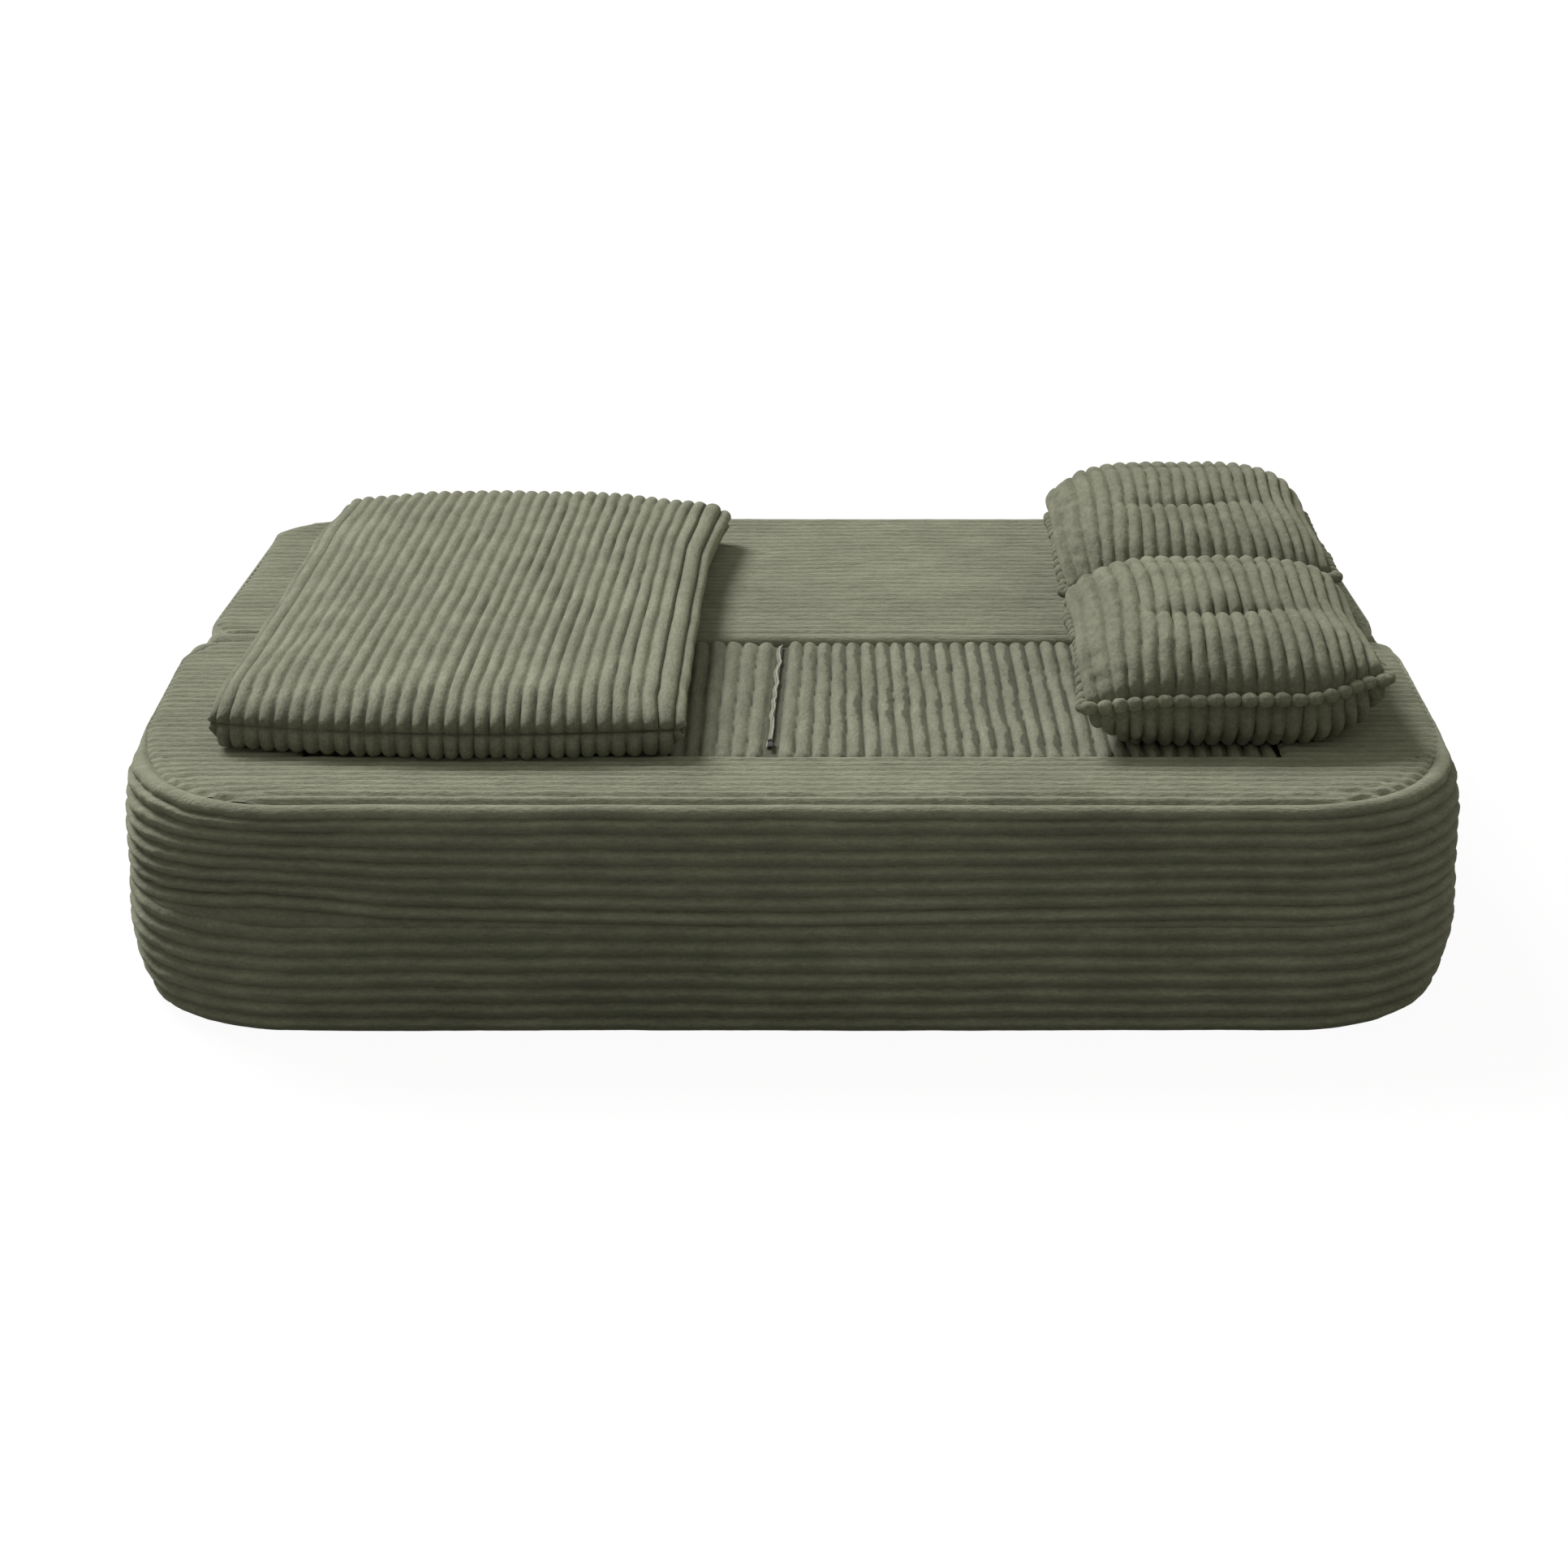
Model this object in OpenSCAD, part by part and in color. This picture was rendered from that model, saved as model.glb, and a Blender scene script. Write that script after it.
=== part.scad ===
// Floor sofa bed in its bed form, in wide ribbed cloth over foam.
// X runs to the right, Y to the back and Z up, with the origin on the floor under the middle.
// The lower layer lies on the floor and carries the rear section and the loose insert cushion.
// The front frame is a U with two arms that folds back over the rear section at the crease.

/* [Bed] */
// Overall width across the widest ribs
body_w = 2000; // [1700:10:2300]
// Overall depth from the front ribs to the back ribs
body_d = 1580; // [1450:10:1800]
// Height of the lower layer
base_h = 175; // [150:1:210]
// Height of the upper layer with its top ribs
layer_h = 195; // [170:1:230]
// Plan radius of the outer corners
corner_r = 260; // [180:5:300]
// Plan radius of the corners at the crease
crease_r = 44; // [40:1:60]
// Place of the crease behind the middle
crease_y = 15; // [-20:1:60]
// How much narrower the rear section is on each side
rear_step = 12; // [0:1:20]

/* [Cloth] */
// Spacing of the ribs on the side bands
rib_pitch = 25; // [20:1:30]
// Spacing of the ribs on the flat top panels
panel_pitch = 23; // [19:1:28]
// Depth of the padded side band behind its widest crest
band_t = 22; // [20:1:28]
// Thickness of the padded top panels with their ribs
panel_t = 25; // [20:1:32]
// Thickness of the plain lining cloth
lining_t = 3; // [2:0.5:5]
// Radius of the welt round the top edges
edge_welt_r = 11; // [8:0.5:12]
// Radius of the fat welt along the seam between the layers
hem_welt_r = 10.5; // [8:0.5:10.5]
// How far the lowest rib of the lower layer draws in
foot_in = 18; // [8:1:20]
// How far the upper layer draws in above and below its middle
bulge_in = 3; // [0:0.5:5]

/* [Recess and insert] */
// Width of the recess between the arms
recess_w = 1480; // [1200:10:1600]
// Depth of the front border of the frame
border_d = 220; // [180:5:280]
// Gap between the insert cushion and the walls of the recess
insert_gap = 2; // [1:0.5:4]
// How far the insert lies below the top panels
insert_low = 4; // [2:1:12]
// Height of the ribs on the loose cushions
soft_rib_h = 7; // [4:0.5:9]
// Thickness of the cover round the foam of the loose cushions
cover_t = 14; // [12:1:18]

/* [Zip] */
// Place of the zip to the left of the middle
zip_left = 25; // [0:1:60]
// Sideways lean of the zip from its middle to the ends of the insert
zip_lean = 10; // [0:1:14]
// Distance of the front end of the zip from the front of the insert
zip_front = 58; // [40:1:80]
// Distance of the rear end of the zip from the back of the insert
zip_back = 18; // [14:1:40]
// Width of one zip tape
tape_w = 9; // [6:0.5:10]
// Thickness of the zip tapes
tape_t = 0.8; // [0.5:0.1:1.2]
// Width of the closed teeth
teeth_w = 4.5; // [3:0.5:6]
// Height of the teeth
teeth_h = 2.2; // [1.6:0.1:3]
// Length of one tooth along the zip
tooth_l = 4; // [3:0.5:6]
// Length of the slider
slider_l = 14; // [11:0.5:18]
// Wall of the slider
slider_wall = 1.6; // [1.2:0.1:2.2]
// Length of the pull tab
pull_l = 30; // [20:1:40]
// Width of the pull tab
pull_w = 8; // [7:0.5:10]
// Thickness of the pull tab
pull_t = 1.6; // [1.2:0.1:2]
// Radius of the pin bar that the pull tab swings on
pin_r = 0.9; // [0.7:0.1:1.1]

/* [Mat] */
// Width of the loose mat
mat_w = 745; // [600:5:800]
// Length of the loose mat
mat_l = 1150; // [1000:5:1200]
// Thickness of the loose mat
mat_t = 85; // [70:1:110]
// Height of the zipped seam of the mat above its underside
mat_seam_h = 40; // [30:1:50]
// Width of the zip strip round the seam of the mat
strip_w = 5; // [3:0.5:6]
// Distance of the middle of the mat from the left side of the bed
mat_side = 510; // [480:5:550]
// Distance of the middle of the mat behind the middle of the bed
mat_back = 20; // [-20:5:40]
// Turn of the mat on the bed in degrees
mat_turn = -2.5; // [-4:0.5:0]

/* [Pillows] */
// Width of a pillow between its seams
pillow_w = 488; // [420:2:520]
// Length of a pillow between its seams
pillow_l = 510; // [440:2:530]
// Height of the pillow seam above the bed
pillow_seam_h = 78; // [60:1:90]
// Height of the crown above the pillow seam
pillow_crown = 112; // [80:1:130]
// Depth of the chop across the middle of the crown
dent_h = 30; // [0:1:50]
// Distance of the middle of the pillows from the right side of the bed
pillow_side = 325; // [300:5:360]
// Distance of the front pillow in front of the middle of the bed
pillow_front_y = 288; // [280:2:300]
// Distance of the rear pillow behind the middle of the bed
pillow_rear_y = 312; // [300:2:340]
// Radius of the beads of the seam
bead_r = 8.5; // [6:0.5:10]
// Radius of the neck between two beads
bead_neck_r = 4.5; // [3:0.5:6]

/* [Hidden] */

// Gap between soft pieces that rest on each other
rest_gap = 0.3;
// Half of the gap between the widest ribs at the crease
crease_gap = 2;
// Overrun of cuts and of shapes that trim others
over = 5;
// Facets of a full round on the body
$fn = 64;

// Heights
top_z = base_h + layer_h;
panel_z = top_z - panel_t;
sheet_z = base_h + rest_gap;
layer_foam_z = sheet_z + lining_t;

// Plan of the body
half_w = body_w / 2;
half_d = body_d / 2;
rear_half_w = half_w - rear_step;
frame_back_y = crease_y - crease_gap;
rear_front_y = crease_y + crease_gap;
recess_half = recess_w / 2;
recess_front_y = -half_d + border_d;

// Side bands
rib_round_share = 0.6;
base_ribs = round(base_h / rib_pitch);
base_pitch = base_h / base_ribs;
hem_top = sheet_z + 2 * hem_welt_r + rest_gap;
edge_low = top_z - 2 * edge_welt_r - rest_gap;
layer_ribs = round((edge_low - hem_top) / rib_pitch);
layer_pitch = (edge_low - hem_top) / layer_ribs;
waist_share = 0.1;
waist_in = band_t * waist_share;
foot_step_share = 1.12;
foot_step_h = base_pitch * foot_step_share;
edge_welt_out_share = 0.14;
edge_welt_out = band_t * edge_welt_out_share;
panel_in = band_t + edge_welt_r - edge_welt_out + rest_gap;
hem_welt_out = band_t - hem_welt_r;

// Top panels
panel_round_share = 0.85;

// Insert cushion
insert_top = top_z - insert_low;
insert_half_w = recess_half - insert_gap;
insert_front = recess_front_y + insert_gap;
insert_half_l = (frame_back_y - insert_front) / 2;
insert_mid_y = insert_front + insert_half_l;
insert_ribs = round(2 * insert_half_w / rib_pitch);
insert_panel_z = insert_top - panel_t;
insert_row_shares = [-1, -0.95, 0, 0.95, 1];
insert_rise_shares = [0, 0.97, 1, 0.97, 0];
insert_edge_share = 0.6;
lean_reach = 4;

// Zip on the insert
insert_step = insert_half_w / insert_ribs;
zip_column = 2 * round((insert_half_w - zip_left) / (2 * insert_step) - 0.5) + 1;
zip_x = insert_step * zip_column - insert_half_w;
zip_turn = -atan(zip_lean / insert_half_l);
zip_z = insert_top - soft_rib_h + rest_gap;
zip_y = insert_front + zip_front;
zip_pivot_y = insert_mid_y;
zip_l = 2 * insert_half_l - zip_front - zip_back;
teeth_gap = rest_gap;
stop_l = 3 * tooth_l / 2;
stop_h = teeth_h + tape_t;
slider_gap = 0.4;
slider_in_w = teeth_w + 2 * slider_gap;
slider_w = slider_in_w + 2 * slider_wall;
slider_in_h = teeth_h + slider_gap;
slider_h = slider_in_h + slider_wall;
slider_y = zip_y + stop_l + slider_gap;
slider_z = zip_z + tape_t + rest_gap;
pull_eye_r = pin_r + slider_gap;
pull_ring_r = pull_eye_r + pin_r;
pin_z = slider_z + slider_h + slider_gap + pull_ring_r;
post_l = 4 * pin_r;
pin_y = slider_y + slider_l / 2;
pull_hole_share = 0.22;

// Loose pieces on the bed
bed_z = top_z + rest_gap;
mat_ribs = round(mat_w / rib_pitch);
mat_row_shares = [-1, -0.985, -0.94, -0.8, -0.27, 0.27, 0.8, 0.94, 0.985, 1];
mat_rise_shares = [0, 0.4, 0.85, 0.97, 1, 1, 0.97, 0.85, 0.4, 0];
mat_side_shares = [0, 0.4, 0.85, 0.97];
mat_low_shares = [-1, -0.98, -0.93, -0.7, 0, 0.7, 0.93, 0.98, 1];
mat_low_rise_shares = [0, 0.5, 0.95, 1, 1, 1, 0.95, 0.5, 0];
mat_low_flat_share = 1.25;
mat_crown_share = 0.06;
mat_groove = 7;
mat_draw = 8;
pillow_ribs = round(pillow_w / rib_pitch);
pillow_row_shares = [-1, -0.96, -0.82, -0.4, -0.05, 0.3, 0.72, 0.94, 1];
pillow_draw = 16;
pillow_power = 3.2;
pillow_round = 0.46;
pillow_front_share = 0.74;
pillow_full_share = 0.5;
pillow_flat_share = 1.15;
pillow_fill_share = 0.88;
pillow_fill_n = 6;
pillow_fill_low = cover_t / 4;
dent_w_share = 0.5;
dent_l_share = 0.2;
dent_place_share = -0.05;

// Colours of the cloth and the metal
olive = [0.42, 0.43, 0.35];
olive_dark = [0.25, 0.26, 0.2];
foam = [0.93, 0.9, 0.78];
fibre = [0.95, 0.95, 0.93];
lining = [0.2, 0.2, 0.18];
metal = [0.22, 0.21, 0.2];

// Outline with its own radius at the front and the back corners
module outline(half_x, y_front, y_back, r_front, r_back) {
    polygon([
        [r_front - half_x, y_front], [half_x - r_front, y_front],
        [half_x, y_front + r_front], [half_x, y_back - r_back],
        [half_x - r_back, y_back], [r_back - half_x, y_back],
        [-half_x, y_back - r_back], [-half_x, y_front + r_front]
    ]);
    for (side = [-1, 1]) {
        translate([side * (half_x - r_front), y_front + r_front]) circle(r_front);
        translate([side * (half_x - r_back), y_back - r_back]) circle(r_back);
    }
}

// Plans of the three bodies, drawn in by the length given
module base_plan(inset) {
    outline(half_w - inset, -half_d + inset, half_d - inset, corner_r - inset, corner_r - inset);
}

module rear_plan(inset) {
    outline(rear_half_w - inset, rear_front_y + inset, half_d - inset, crease_r - inset, corner_r - inset);
}

module frame_plan(inset) {
    outline(half_w - inset, -half_d + inset, frame_back_y - inset, corner_r - inset, crease_r - inset);
}

// A flat layer of a plan between two heights
module layer(low, high) {
    translate([0, 0, low]) linear_extrude(high - low) children();
}

// A profile run along a straight wall that faces the turn given
module wall_run(start, turn, length) {
    translate(start) rotate([90, 0, turn]) linear_extrude(length) children();
}

// A profile turned round a corner
module wall_corner(centre, turn, r) {
    translate(centre) rotate([0, 0, turn]) rotate_extrude(angle = 90) translate([r, 0]) children();
}

// A profile carried round a rounded plan, with a gap in its back wall where one is given
module wall_loop(half_x, y_front, y_back, r_front, r_back, gap_half = 0) {
    wall_run([half_x, y_back - r_back, 0], 0, y_back - y_front - r_front - r_back) children();
    wall_corner([half_x - r_back, y_back - r_back, 0], 0, r_back) children();
    if (gap_half == 0) {
        wall_run([-half_x + r_back, y_back, 0], 90, 2 * (half_x - r_back)) children();
    } else {
        wall_run([-half_x + r_back, y_back, 0], 90, half_x - r_back - gap_half) children();
        wall_run([gap_half, y_back, 0], 90, half_x - r_back - gap_half) children();
    }
    wall_corner([-half_x + r_back, y_back - r_back, 0], 90, r_back) children();
    wall_run([-half_x, y_front + r_front, 0], 180, y_back - y_front - r_front - r_back) children();
    wall_corner([-half_x + r_front, y_front + r_front, 0], 180, r_front) children();
    wall_run([half_x - r_front, y_front, 0], 270, 2 * (half_x - r_front)) children();
    wall_corner([half_x - r_front, y_front + r_front, 0], 270, r_front) children();
}

// The same profile round each body, measured outwards from the foam
module round_base() {
    wall_loop(half_w - band_t, -half_d + band_t, half_d - band_t, corner_r - band_t, corner_r - band_t)
        children();
}

module round_rear() {
    wall_loop(rear_half_w - band_t, rear_front_y + band_t, half_d - band_t, crease_r - band_t,
        corner_r - band_t) children();
}

module round_frame() {
    wall_loop(half_w - band_t, -half_d + band_t, frame_back_y - band_t, corner_r - band_t,
        crease_r - band_t, recess_half + lining_t) children();
}

// Ribs stacked up a side band, each drawn in by its own entry in the list of insets
module rib_stack(pitch, insets, back) {
    count = len(insets);
    r = pitch * rib_round_share;
    centres = [for (i = [0 : count - 1]) [band_t - r - insets[i], (i + 0.5) * pitch]];
    top = [centres[count - 1].x, count * pitch];
    polygon(concat([[-back, 0], [centres[0].x, 0]], centres, [top, [-back, count * pitch]]));
    for (centre = centres) translate(centre) circle(r);
}

// Side band of the lower layer, drawn in towards the floor
module base_band_profile() {
    insets = [for (i = [0 : base_ribs - 1]) waist_in + foot_in * pow(1 - (i + 0.5) / base_ribs, 3)];
    intersection() {
        rib_stack(base_pitch, insets, foot_in);
        union() {
            translate([0, foot_step_h]) square([band_t, base_h - foot_step_h]);
            translate([-foot_in, lining_t]) square([foot_in + band_t, foot_step_h - lining_t]);
        }
    }
}

// Side band of the upper layer, fullest at mid height
module layer_band_profile() {
    insets = [for (i = [0 : layer_ribs - 1]) bulge_in * pow(2 * (i + 0.5) / layer_ribs - 1, 2)];
    translate([0, hem_top]) intersection() {
        rib_stack(layer_pitch, insets, 0);
        square([band_t, edge_low - hem_top]);
    }
}

module edge_welt_profile() {
    translate([edge_welt_out, top_z - edge_welt_r]) circle(edge_welt_r);
}

module hem_welt_profile(low) {
    translate([hem_welt_out, low + hem_welt_r]) circle(hem_welt_r);
}

// A padded panel with ribs from side to side, as wide as the bed
module ribbed_slab(y_front, y_back) {
    count = round((y_back - y_front) / panel_pitch);
    pitch = (y_back - y_front) / count;
    r = pitch * panel_round_share;
    translate([-half_w, y_front, panel_z]) rotate([90, 0, 90]) linear_extrude(body_w) intersection() {
        union() {
            square([y_back - y_front, panel_t - r]);
            for (i = [0 : count - 1]) translate([(i + 0.5) * pitch, panel_t - r]) circle(r);
        }
        square([y_back - y_front, panel_t]);
    }
}

// Lower layer on the floor
module base_bottom_sheet() {
    color(lining) layer(0, lining_t) base_plan(band_t + foot_in);
}

module base_foam_core() {
    color(foam) {
        layer(lining_t, foot_step_h) base_plan(band_t + foot_in);
        layer(foot_step_h, base_h - lining_t) base_plan(band_t);
    }
}

module base_side_band() {
    color(olive) round_base() base_band_profile();
}

module base_top_lining() {
    color(lining) layer(base_h - lining_t, base_h) base_plan(band_t);
}

// Rear section, sewn to the lower layer
module rear_foam_core() {
    color(foam) layer(base_h, panel_z) rear_plan(band_t);
}

module rear_side_band() {
    color(olive) round_rear() layer_band_profile();
}

module rear_top_panel() {
    color(olive) intersection() {
        ribbed_slab(rear_front_y + panel_in, half_d - panel_in);
        layer(panel_z - over, top_z + over) rear_plan(panel_in);
    }
}

module rear_edge_welt() {
    color(olive) round_rear() edge_welt_profile();
}

module rear_seam_welt() {
    color(olive) round_rear() hem_welt_profile(sheet_z);
}

// Cloth hinge: a strip on each side of the crease, just below the fold line, that ends at the welt
tape_low = lining_t + rest_gap;
tape_reach = sqrt(pow(edge_welt_r, 2) - pow(edge_welt_r - tape_low, 2));
tape_out = crease_gap + band_t - edge_welt_out - tape_reach - rest_gap;

module hinge_strip(x_from, x_to, side) {
    y_from = crease_y + (side > 0 ? rest_gap : -tape_out);
    translate([x_from, y_from, top_z - tape_low]) cube([x_to - x_from, tape_out - rest_gap, lining_t]);
}

module rear_hinge_tape() {
    color(olive_dark) hinge_strip(crease_r - rear_half_w, rear_half_w - crease_r, 1);
}

// Faces of a soft sheet of points, with each cell split along the line that points to its corner.
// A second sheet shares the rim of the first, so only its inner points follow in the list.
function grid_index(m, i, j) = i * (m + 1) + j;
function on_rim(n, m, i, j) = i == 0 || i == n || j == 0 || j == m;
function sheet_index(n, m, i, j, second) =
    !second || on_rim(n, m, i, j) ? grid_index(m, i, j)
        : (n + 1) * (m + 1) + (i - 1) * (m - 1) + j - 1;
function cell_faces(a, b, c, d, turned) = turned ? [[a, b, d], [b, c, d]] : [[a, b, c], [a, c, d]];
function face_up(face) = [face.x, face.z, face.y];
function sheet_faces(n, m, over_lid, second = false) = [
    for (i = [0 : n - 1], j = [0 : m - 1])
        let (a = sheet_index(n, m, i, j, second), b = sheet_index(n, m, i + 1, j, second),
            c = sheet_index(n, m, i + 1, j + 1, second), d = sheet_index(n, m, i, j + 1, second))
        each [for (face = cell_faces(a, b, c, d, (2 * i >= n) != (2 * j >= m)))
            over_lid ? face_up(face) : face]
];

// Flat lid through the rim of a sheet
function lid_faces(n, m) = concat(
    [for (j = [0 : m - 1]) [grid_index(m, 1, 0), grid_index(m, 0, j + 1), grid_index(m, 0, j)]],
    [[grid_index(m, 1, 0), grid_index(m, 1, m), grid_index(m, 0, m)]],
    [for (i = [1 : n - 2]) each [
        [grid_index(m, i, 0), grid_index(m, i + 1, 0), grid_index(m, i + 1, m)],
        [grid_index(m, i, 0), grid_index(m, i + 1, m), grid_index(m, i, m)]]],
    [for (j = [0 : m - 1]) [grid_index(m, n - 1, 0), grid_index(m, n, j), grid_index(m, n, j + 1)]],
    [[grid_index(m, n - 1, 0), grid_index(m, n, m), grid_index(m, n - 1, m)]]);

// Solid between a sheet and its lid
module soft_half(sheet, over_lid) {
    n = len(sheet) - 1;
    m = len(sheet[0]) - 1;
    lid = [for (face = lid_faces(n, m)) over_lid ? face : face_up(face)];
    polyhedron([for (row = sheet) each row], concat(sheet_faces(n, m, over_lid), lid), convexity = 6);
}

// Closed form between an upper and a lower sheet that share their rim
module soft_whole(upper, lower) {
    n = len(upper) - 1;
    m = len(upper[0]) - 1;
    points = concat([for (row = upper) each row], [for (i = [1 : n - 1], j = [1 : m - 1]) lower[i][j]]);
    polyhedron(points, concat(sheet_faces(n, m, true), sheet_faces(n, m, false, true)), convexity = 4);
}

// Insert cushion: ribs from front to back, and one rib left out for the zip
function insert_lean(i, v) =
    zip_lean * v * max(0, 1 - max(0, abs(i - zip_column) - lean_reach / 2) / lean_reach);
function insert_rib(i) = i % 2 == 1 && i != zip_column ? soft_rib_h : 0;
function insert_side(i) = min(i, 2 * insert_ribs - i);
function insert_fill(i) = insert_side(i) == 0 ? 0 : insert_side(i) == 1 ? insert_edge_share : 1;
function insert_point(i, j) =
    let (v = insert_row_shares[j], fill = insert_fill(i) * insert_rise_shares[j])
    [i * insert_step - insert_half_w + insert_lean(i, v), insert_mid_y + v * insert_half_l,
        insert_panel_z + (panel_t - soft_rib_h + insert_rib(i)) * fill];

module insert_plan(inset) {
    outline(insert_half_w - inset, insert_front + inset, insert_front + 2 * insert_half_l - inset,
        2 * cover_t - inset, 2 * cover_t - inset);
}

module insert_top_panel() {
    color(olive) soft_half([for (i = [0 : 2 * insert_ribs])
        [for (j = [0 : len(insert_row_shares) - 1]) insert_point(i, j)]], true);
}

module insert_boxing() {
    color(olive) layer(base_h + rest_gap, insert_panel_z) difference() {
        insert_plan(0);
        insert_plan(cover_t);
    }
}

module insert_bottom_sheet() {
    color(lining) layer(base_h + rest_gap, base_h + rest_gap + lining_t) insert_plan(cover_t);
}

module insert_foam() {
    color(foam) layer(base_h + rest_gap + lining_t, insert_panel_z) insert_plan(cover_t);
}

// Zip down the insert, laid along its lean
module along_zip() {
    translate([zip_x, zip_pivot_y, 0]) rotate([0, 0, zip_turn]) translate([0, -zip_pivot_y, 0]) children();
}

module zip_tape(side) {
    color(olive_dark) along_zip()
        translate([side < 0 ? -tape_w - teeth_gap / 2 : teeth_gap / 2, zip_y, zip_z])
        cube([tape_w, zip_l, tape_t]);
}

module zip_tape_left() {
    zip_tape(-1);
}

module zip_tape_right() {
    zip_tape(1);
}

// Closed teeth: those of the two tapes take turns along a spine
module zip_teeth() {
    pairs = floor((zip_l - 2 * stop_l) / (2 * tooth_l));
    tip = teeth_w / 2;
    root = teeth_w / 4;
    right = [for (i = [0 : pairs - 1]) let (y = 2 * i * tooth_l)
        each [[tip, y], [tip, y + tooth_l], [root, y + tooth_l], [root, y + 2 * tooth_l]]];
    left = [for (i = [pairs - 1 : -1 : 0]) let (y = 2 * i * tooth_l)
        each [[-tip, y + 2 * tooth_l], [-tip, y + tooth_l], [-root, y + tooth_l], [-root, y]]];
    color(metal) along_zip() translate([0, zip_y + stop_l, zip_z + tape_t])
        linear_extrude(teeth_h) polygon(concat(right, left));
}

module zip_stops() {
    color(metal) along_zip() for (y = [zip_y, zip_y + zip_l - stop_l + slider_gap])
        translate([-teeth_w / 2, y, zip_z + tape_t])
            cube([teeth_w, stop_l - slider_gap, stop_h]);
}

// Slider that straddles the teeth, with a bar across two posts for the pull tab
module zip_slider() {
    post_h = pin_z + pin_r - slider_z - slider_h;
    color(metal) along_zip() translate([0, slider_y, slider_z]) {
        difference() {
            translate([-slider_w / 2, 0, 0]) cube([slider_w, slider_l, slider_h]);
            translate([-slider_in_w / 2, -over, -over])
                cube([slider_in_w, slider_l + 2 * over, slider_in_h + over]);
        }
        for (x = [-slider_w / 2, slider_w / 2 - slider_wall])
            translate([x, (slider_l - post_l) / 2, slider_h - slider_wall])
                cube([slider_wall, post_l, post_h + slider_wall]);
        translate([-slider_w / 2, slider_l / 2, pin_z - slider_z]) rotate([0, 90, 0])
            cylinder(r = pin_r, h = slider_w);
    }
}

// Pull tab with an eye on the pin bar and a hole at its free end
module zip_pull() {
    neck_w = slider_in_w - slider_gap;
    tip_y = pull_w / 2 - pull_l;
    color(metal) along_zip() translate([0, pin_y, pin_z]) difference() {
        union() {
            translate([-neck_w / 2, 0, 0]) rotate([0, 90, 0]) cylinder(r = pull_ring_r, h = neck_w);
            translate([-neck_w / 2, -slider_l, -pull_t / 2]) cube([neck_w, slider_l, pull_t]);
            translate([-pull_w / 2, tip_y, -pull_t / 2])
                cube([pull_w, pull_w / 2 - slider_l - tip_y, pull_t]);
            translate([0, tip_y, -pull_t / 2]) cylinder(r = pull_w / 2, h = pull_t);
        }
        translate([-slider_w, 0, 0]) rotate([0, 90, 0]) cylinder(r = pull_eye_r, h = 2 * slider_w);
        translate([0, tip_y, -over]) cylinder(r = pull_w * pull_hole_share, h = 2 * over);
    }
}

// Front frame that folds back over the rear section
module frame_part(x_from, x_to, y_from, y_to) {
    translate([x_from, y_from]) square([x_to - x_from, y_to - y_from]);
}

module frame_foam(x_from, x_to, y_from, y_to) {
    color(foam) layer(layer_foam_z, panel_z) intersection() {
        frame_plan(band_t);
        frame_part(x_from, x_to, y_from, y_to);
    }
}

module frame_front_foam() {
    frame_foam(-half_w, half_w, -half_d, recess_front_y - lining_t);
}

module frame_left_arm_foam() {
    frame_foam(-half_w, -recess_half - lining_t, recess_front_y - lining_t, half_d);
}

module frame_right_arm_foam() {
    frame_foam(recess_half + lining_t, half_w, recess_front_y - lining_t, half_d);
}

module frame_bottom_sheet() {
    color(lining) layer(sheet_z, layer_foam_z) difference() {
        frame_plan(band_t);
        frame_part(-recess_half - lining_t, recess_half + lining_t, recess_front_y - lining_t, half_d);
    }
}

module frame_side_band() {
    color(olive) round_frame() layer_band_profile();
}

module frame_inner_wall() {
    color(lining) layer(sheet_z, panel_z) difference() {
        frame_part(-recess_half - lining_t, recess_half + lining_t, recess_front_y - lining_t,
            frame_back_y - band_t);
        frame_part(-recess_half, recess_half, recess_front_y, half_d);
    }
}

module frame_panel(x_from, x_to, y_from, y_to) {
    color(olive) intersection() {
        ribbed_slab(y_from, y_to);
        layer(panel_z - over, top_z + over) intersection() {
            frame_plan(panel_in);
            frame_part(x_from, x_to, y_from, y_to);
        }
    }
}

module frame_front_panel() {
    frame_panel(-half_w, half_w, -half_d + panel_in + rest_gap, recess_front_y);
}

module frame_left_arm_panel() {
    frame_panel(-half_w, -recess_half, recess_front_y, frame_back_y - panel_in);
}

module frame_right_arm_panel() {
    frame_panel(recess_half, half_w, recess_front_y, frame_back_y - panel_in);
}

module frame_edge_welt() {
    color(olive) round_frame() edge_welt_profile();
}

module frame_hem_welt() {
    color(olive) round_frame() hem_welt_profile(sheet_z);
}

module frame_hinge_tape() {
    color(olive_dark) for (side = [-1, 1])
        hinge_strip(side < 0 ? crease_r - half_w : recess_half + lining_t,
            side < 0 ? -recess_half - lining_t : half_w - crease_r, -1);
}

// Loose mat with ribs from front to back and a zipped seam all round
function mat_side(i) = min(i, 2 * mat_ribs - i);
function mat_fill(i) = mat_side(i) < len(mat_side_shares) ? mat_side_shares[mat_side(i)] : 1;
function mat_plan(u, v) = [
    u * (mat_w / 2 - (abs(u) == 1 ? mat_groove : 0) - mat_draw * (1 - v * v)),
    v * (mat_l / 2 - (abs(v) == 1 ? mat_groove : 0) - mat_draw * (1 - u * u))];
function mat_top_point(i, j) =
    let (u = i / mat_ribs - 1, v = mat_row_shares[j], fill = mat_fill(i) * mat_rise_shares[j],
        crown = mat_t * mat_crown_share, full = mat_t - mat_seam_h - soft_rib_h - crown)
    concat(mat_plan(u, v), mat_seam_h + (full + (i % 2) * soft_rib_h) * fill
        + crown * (1 - u * u) * (1 - v * v));
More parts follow.
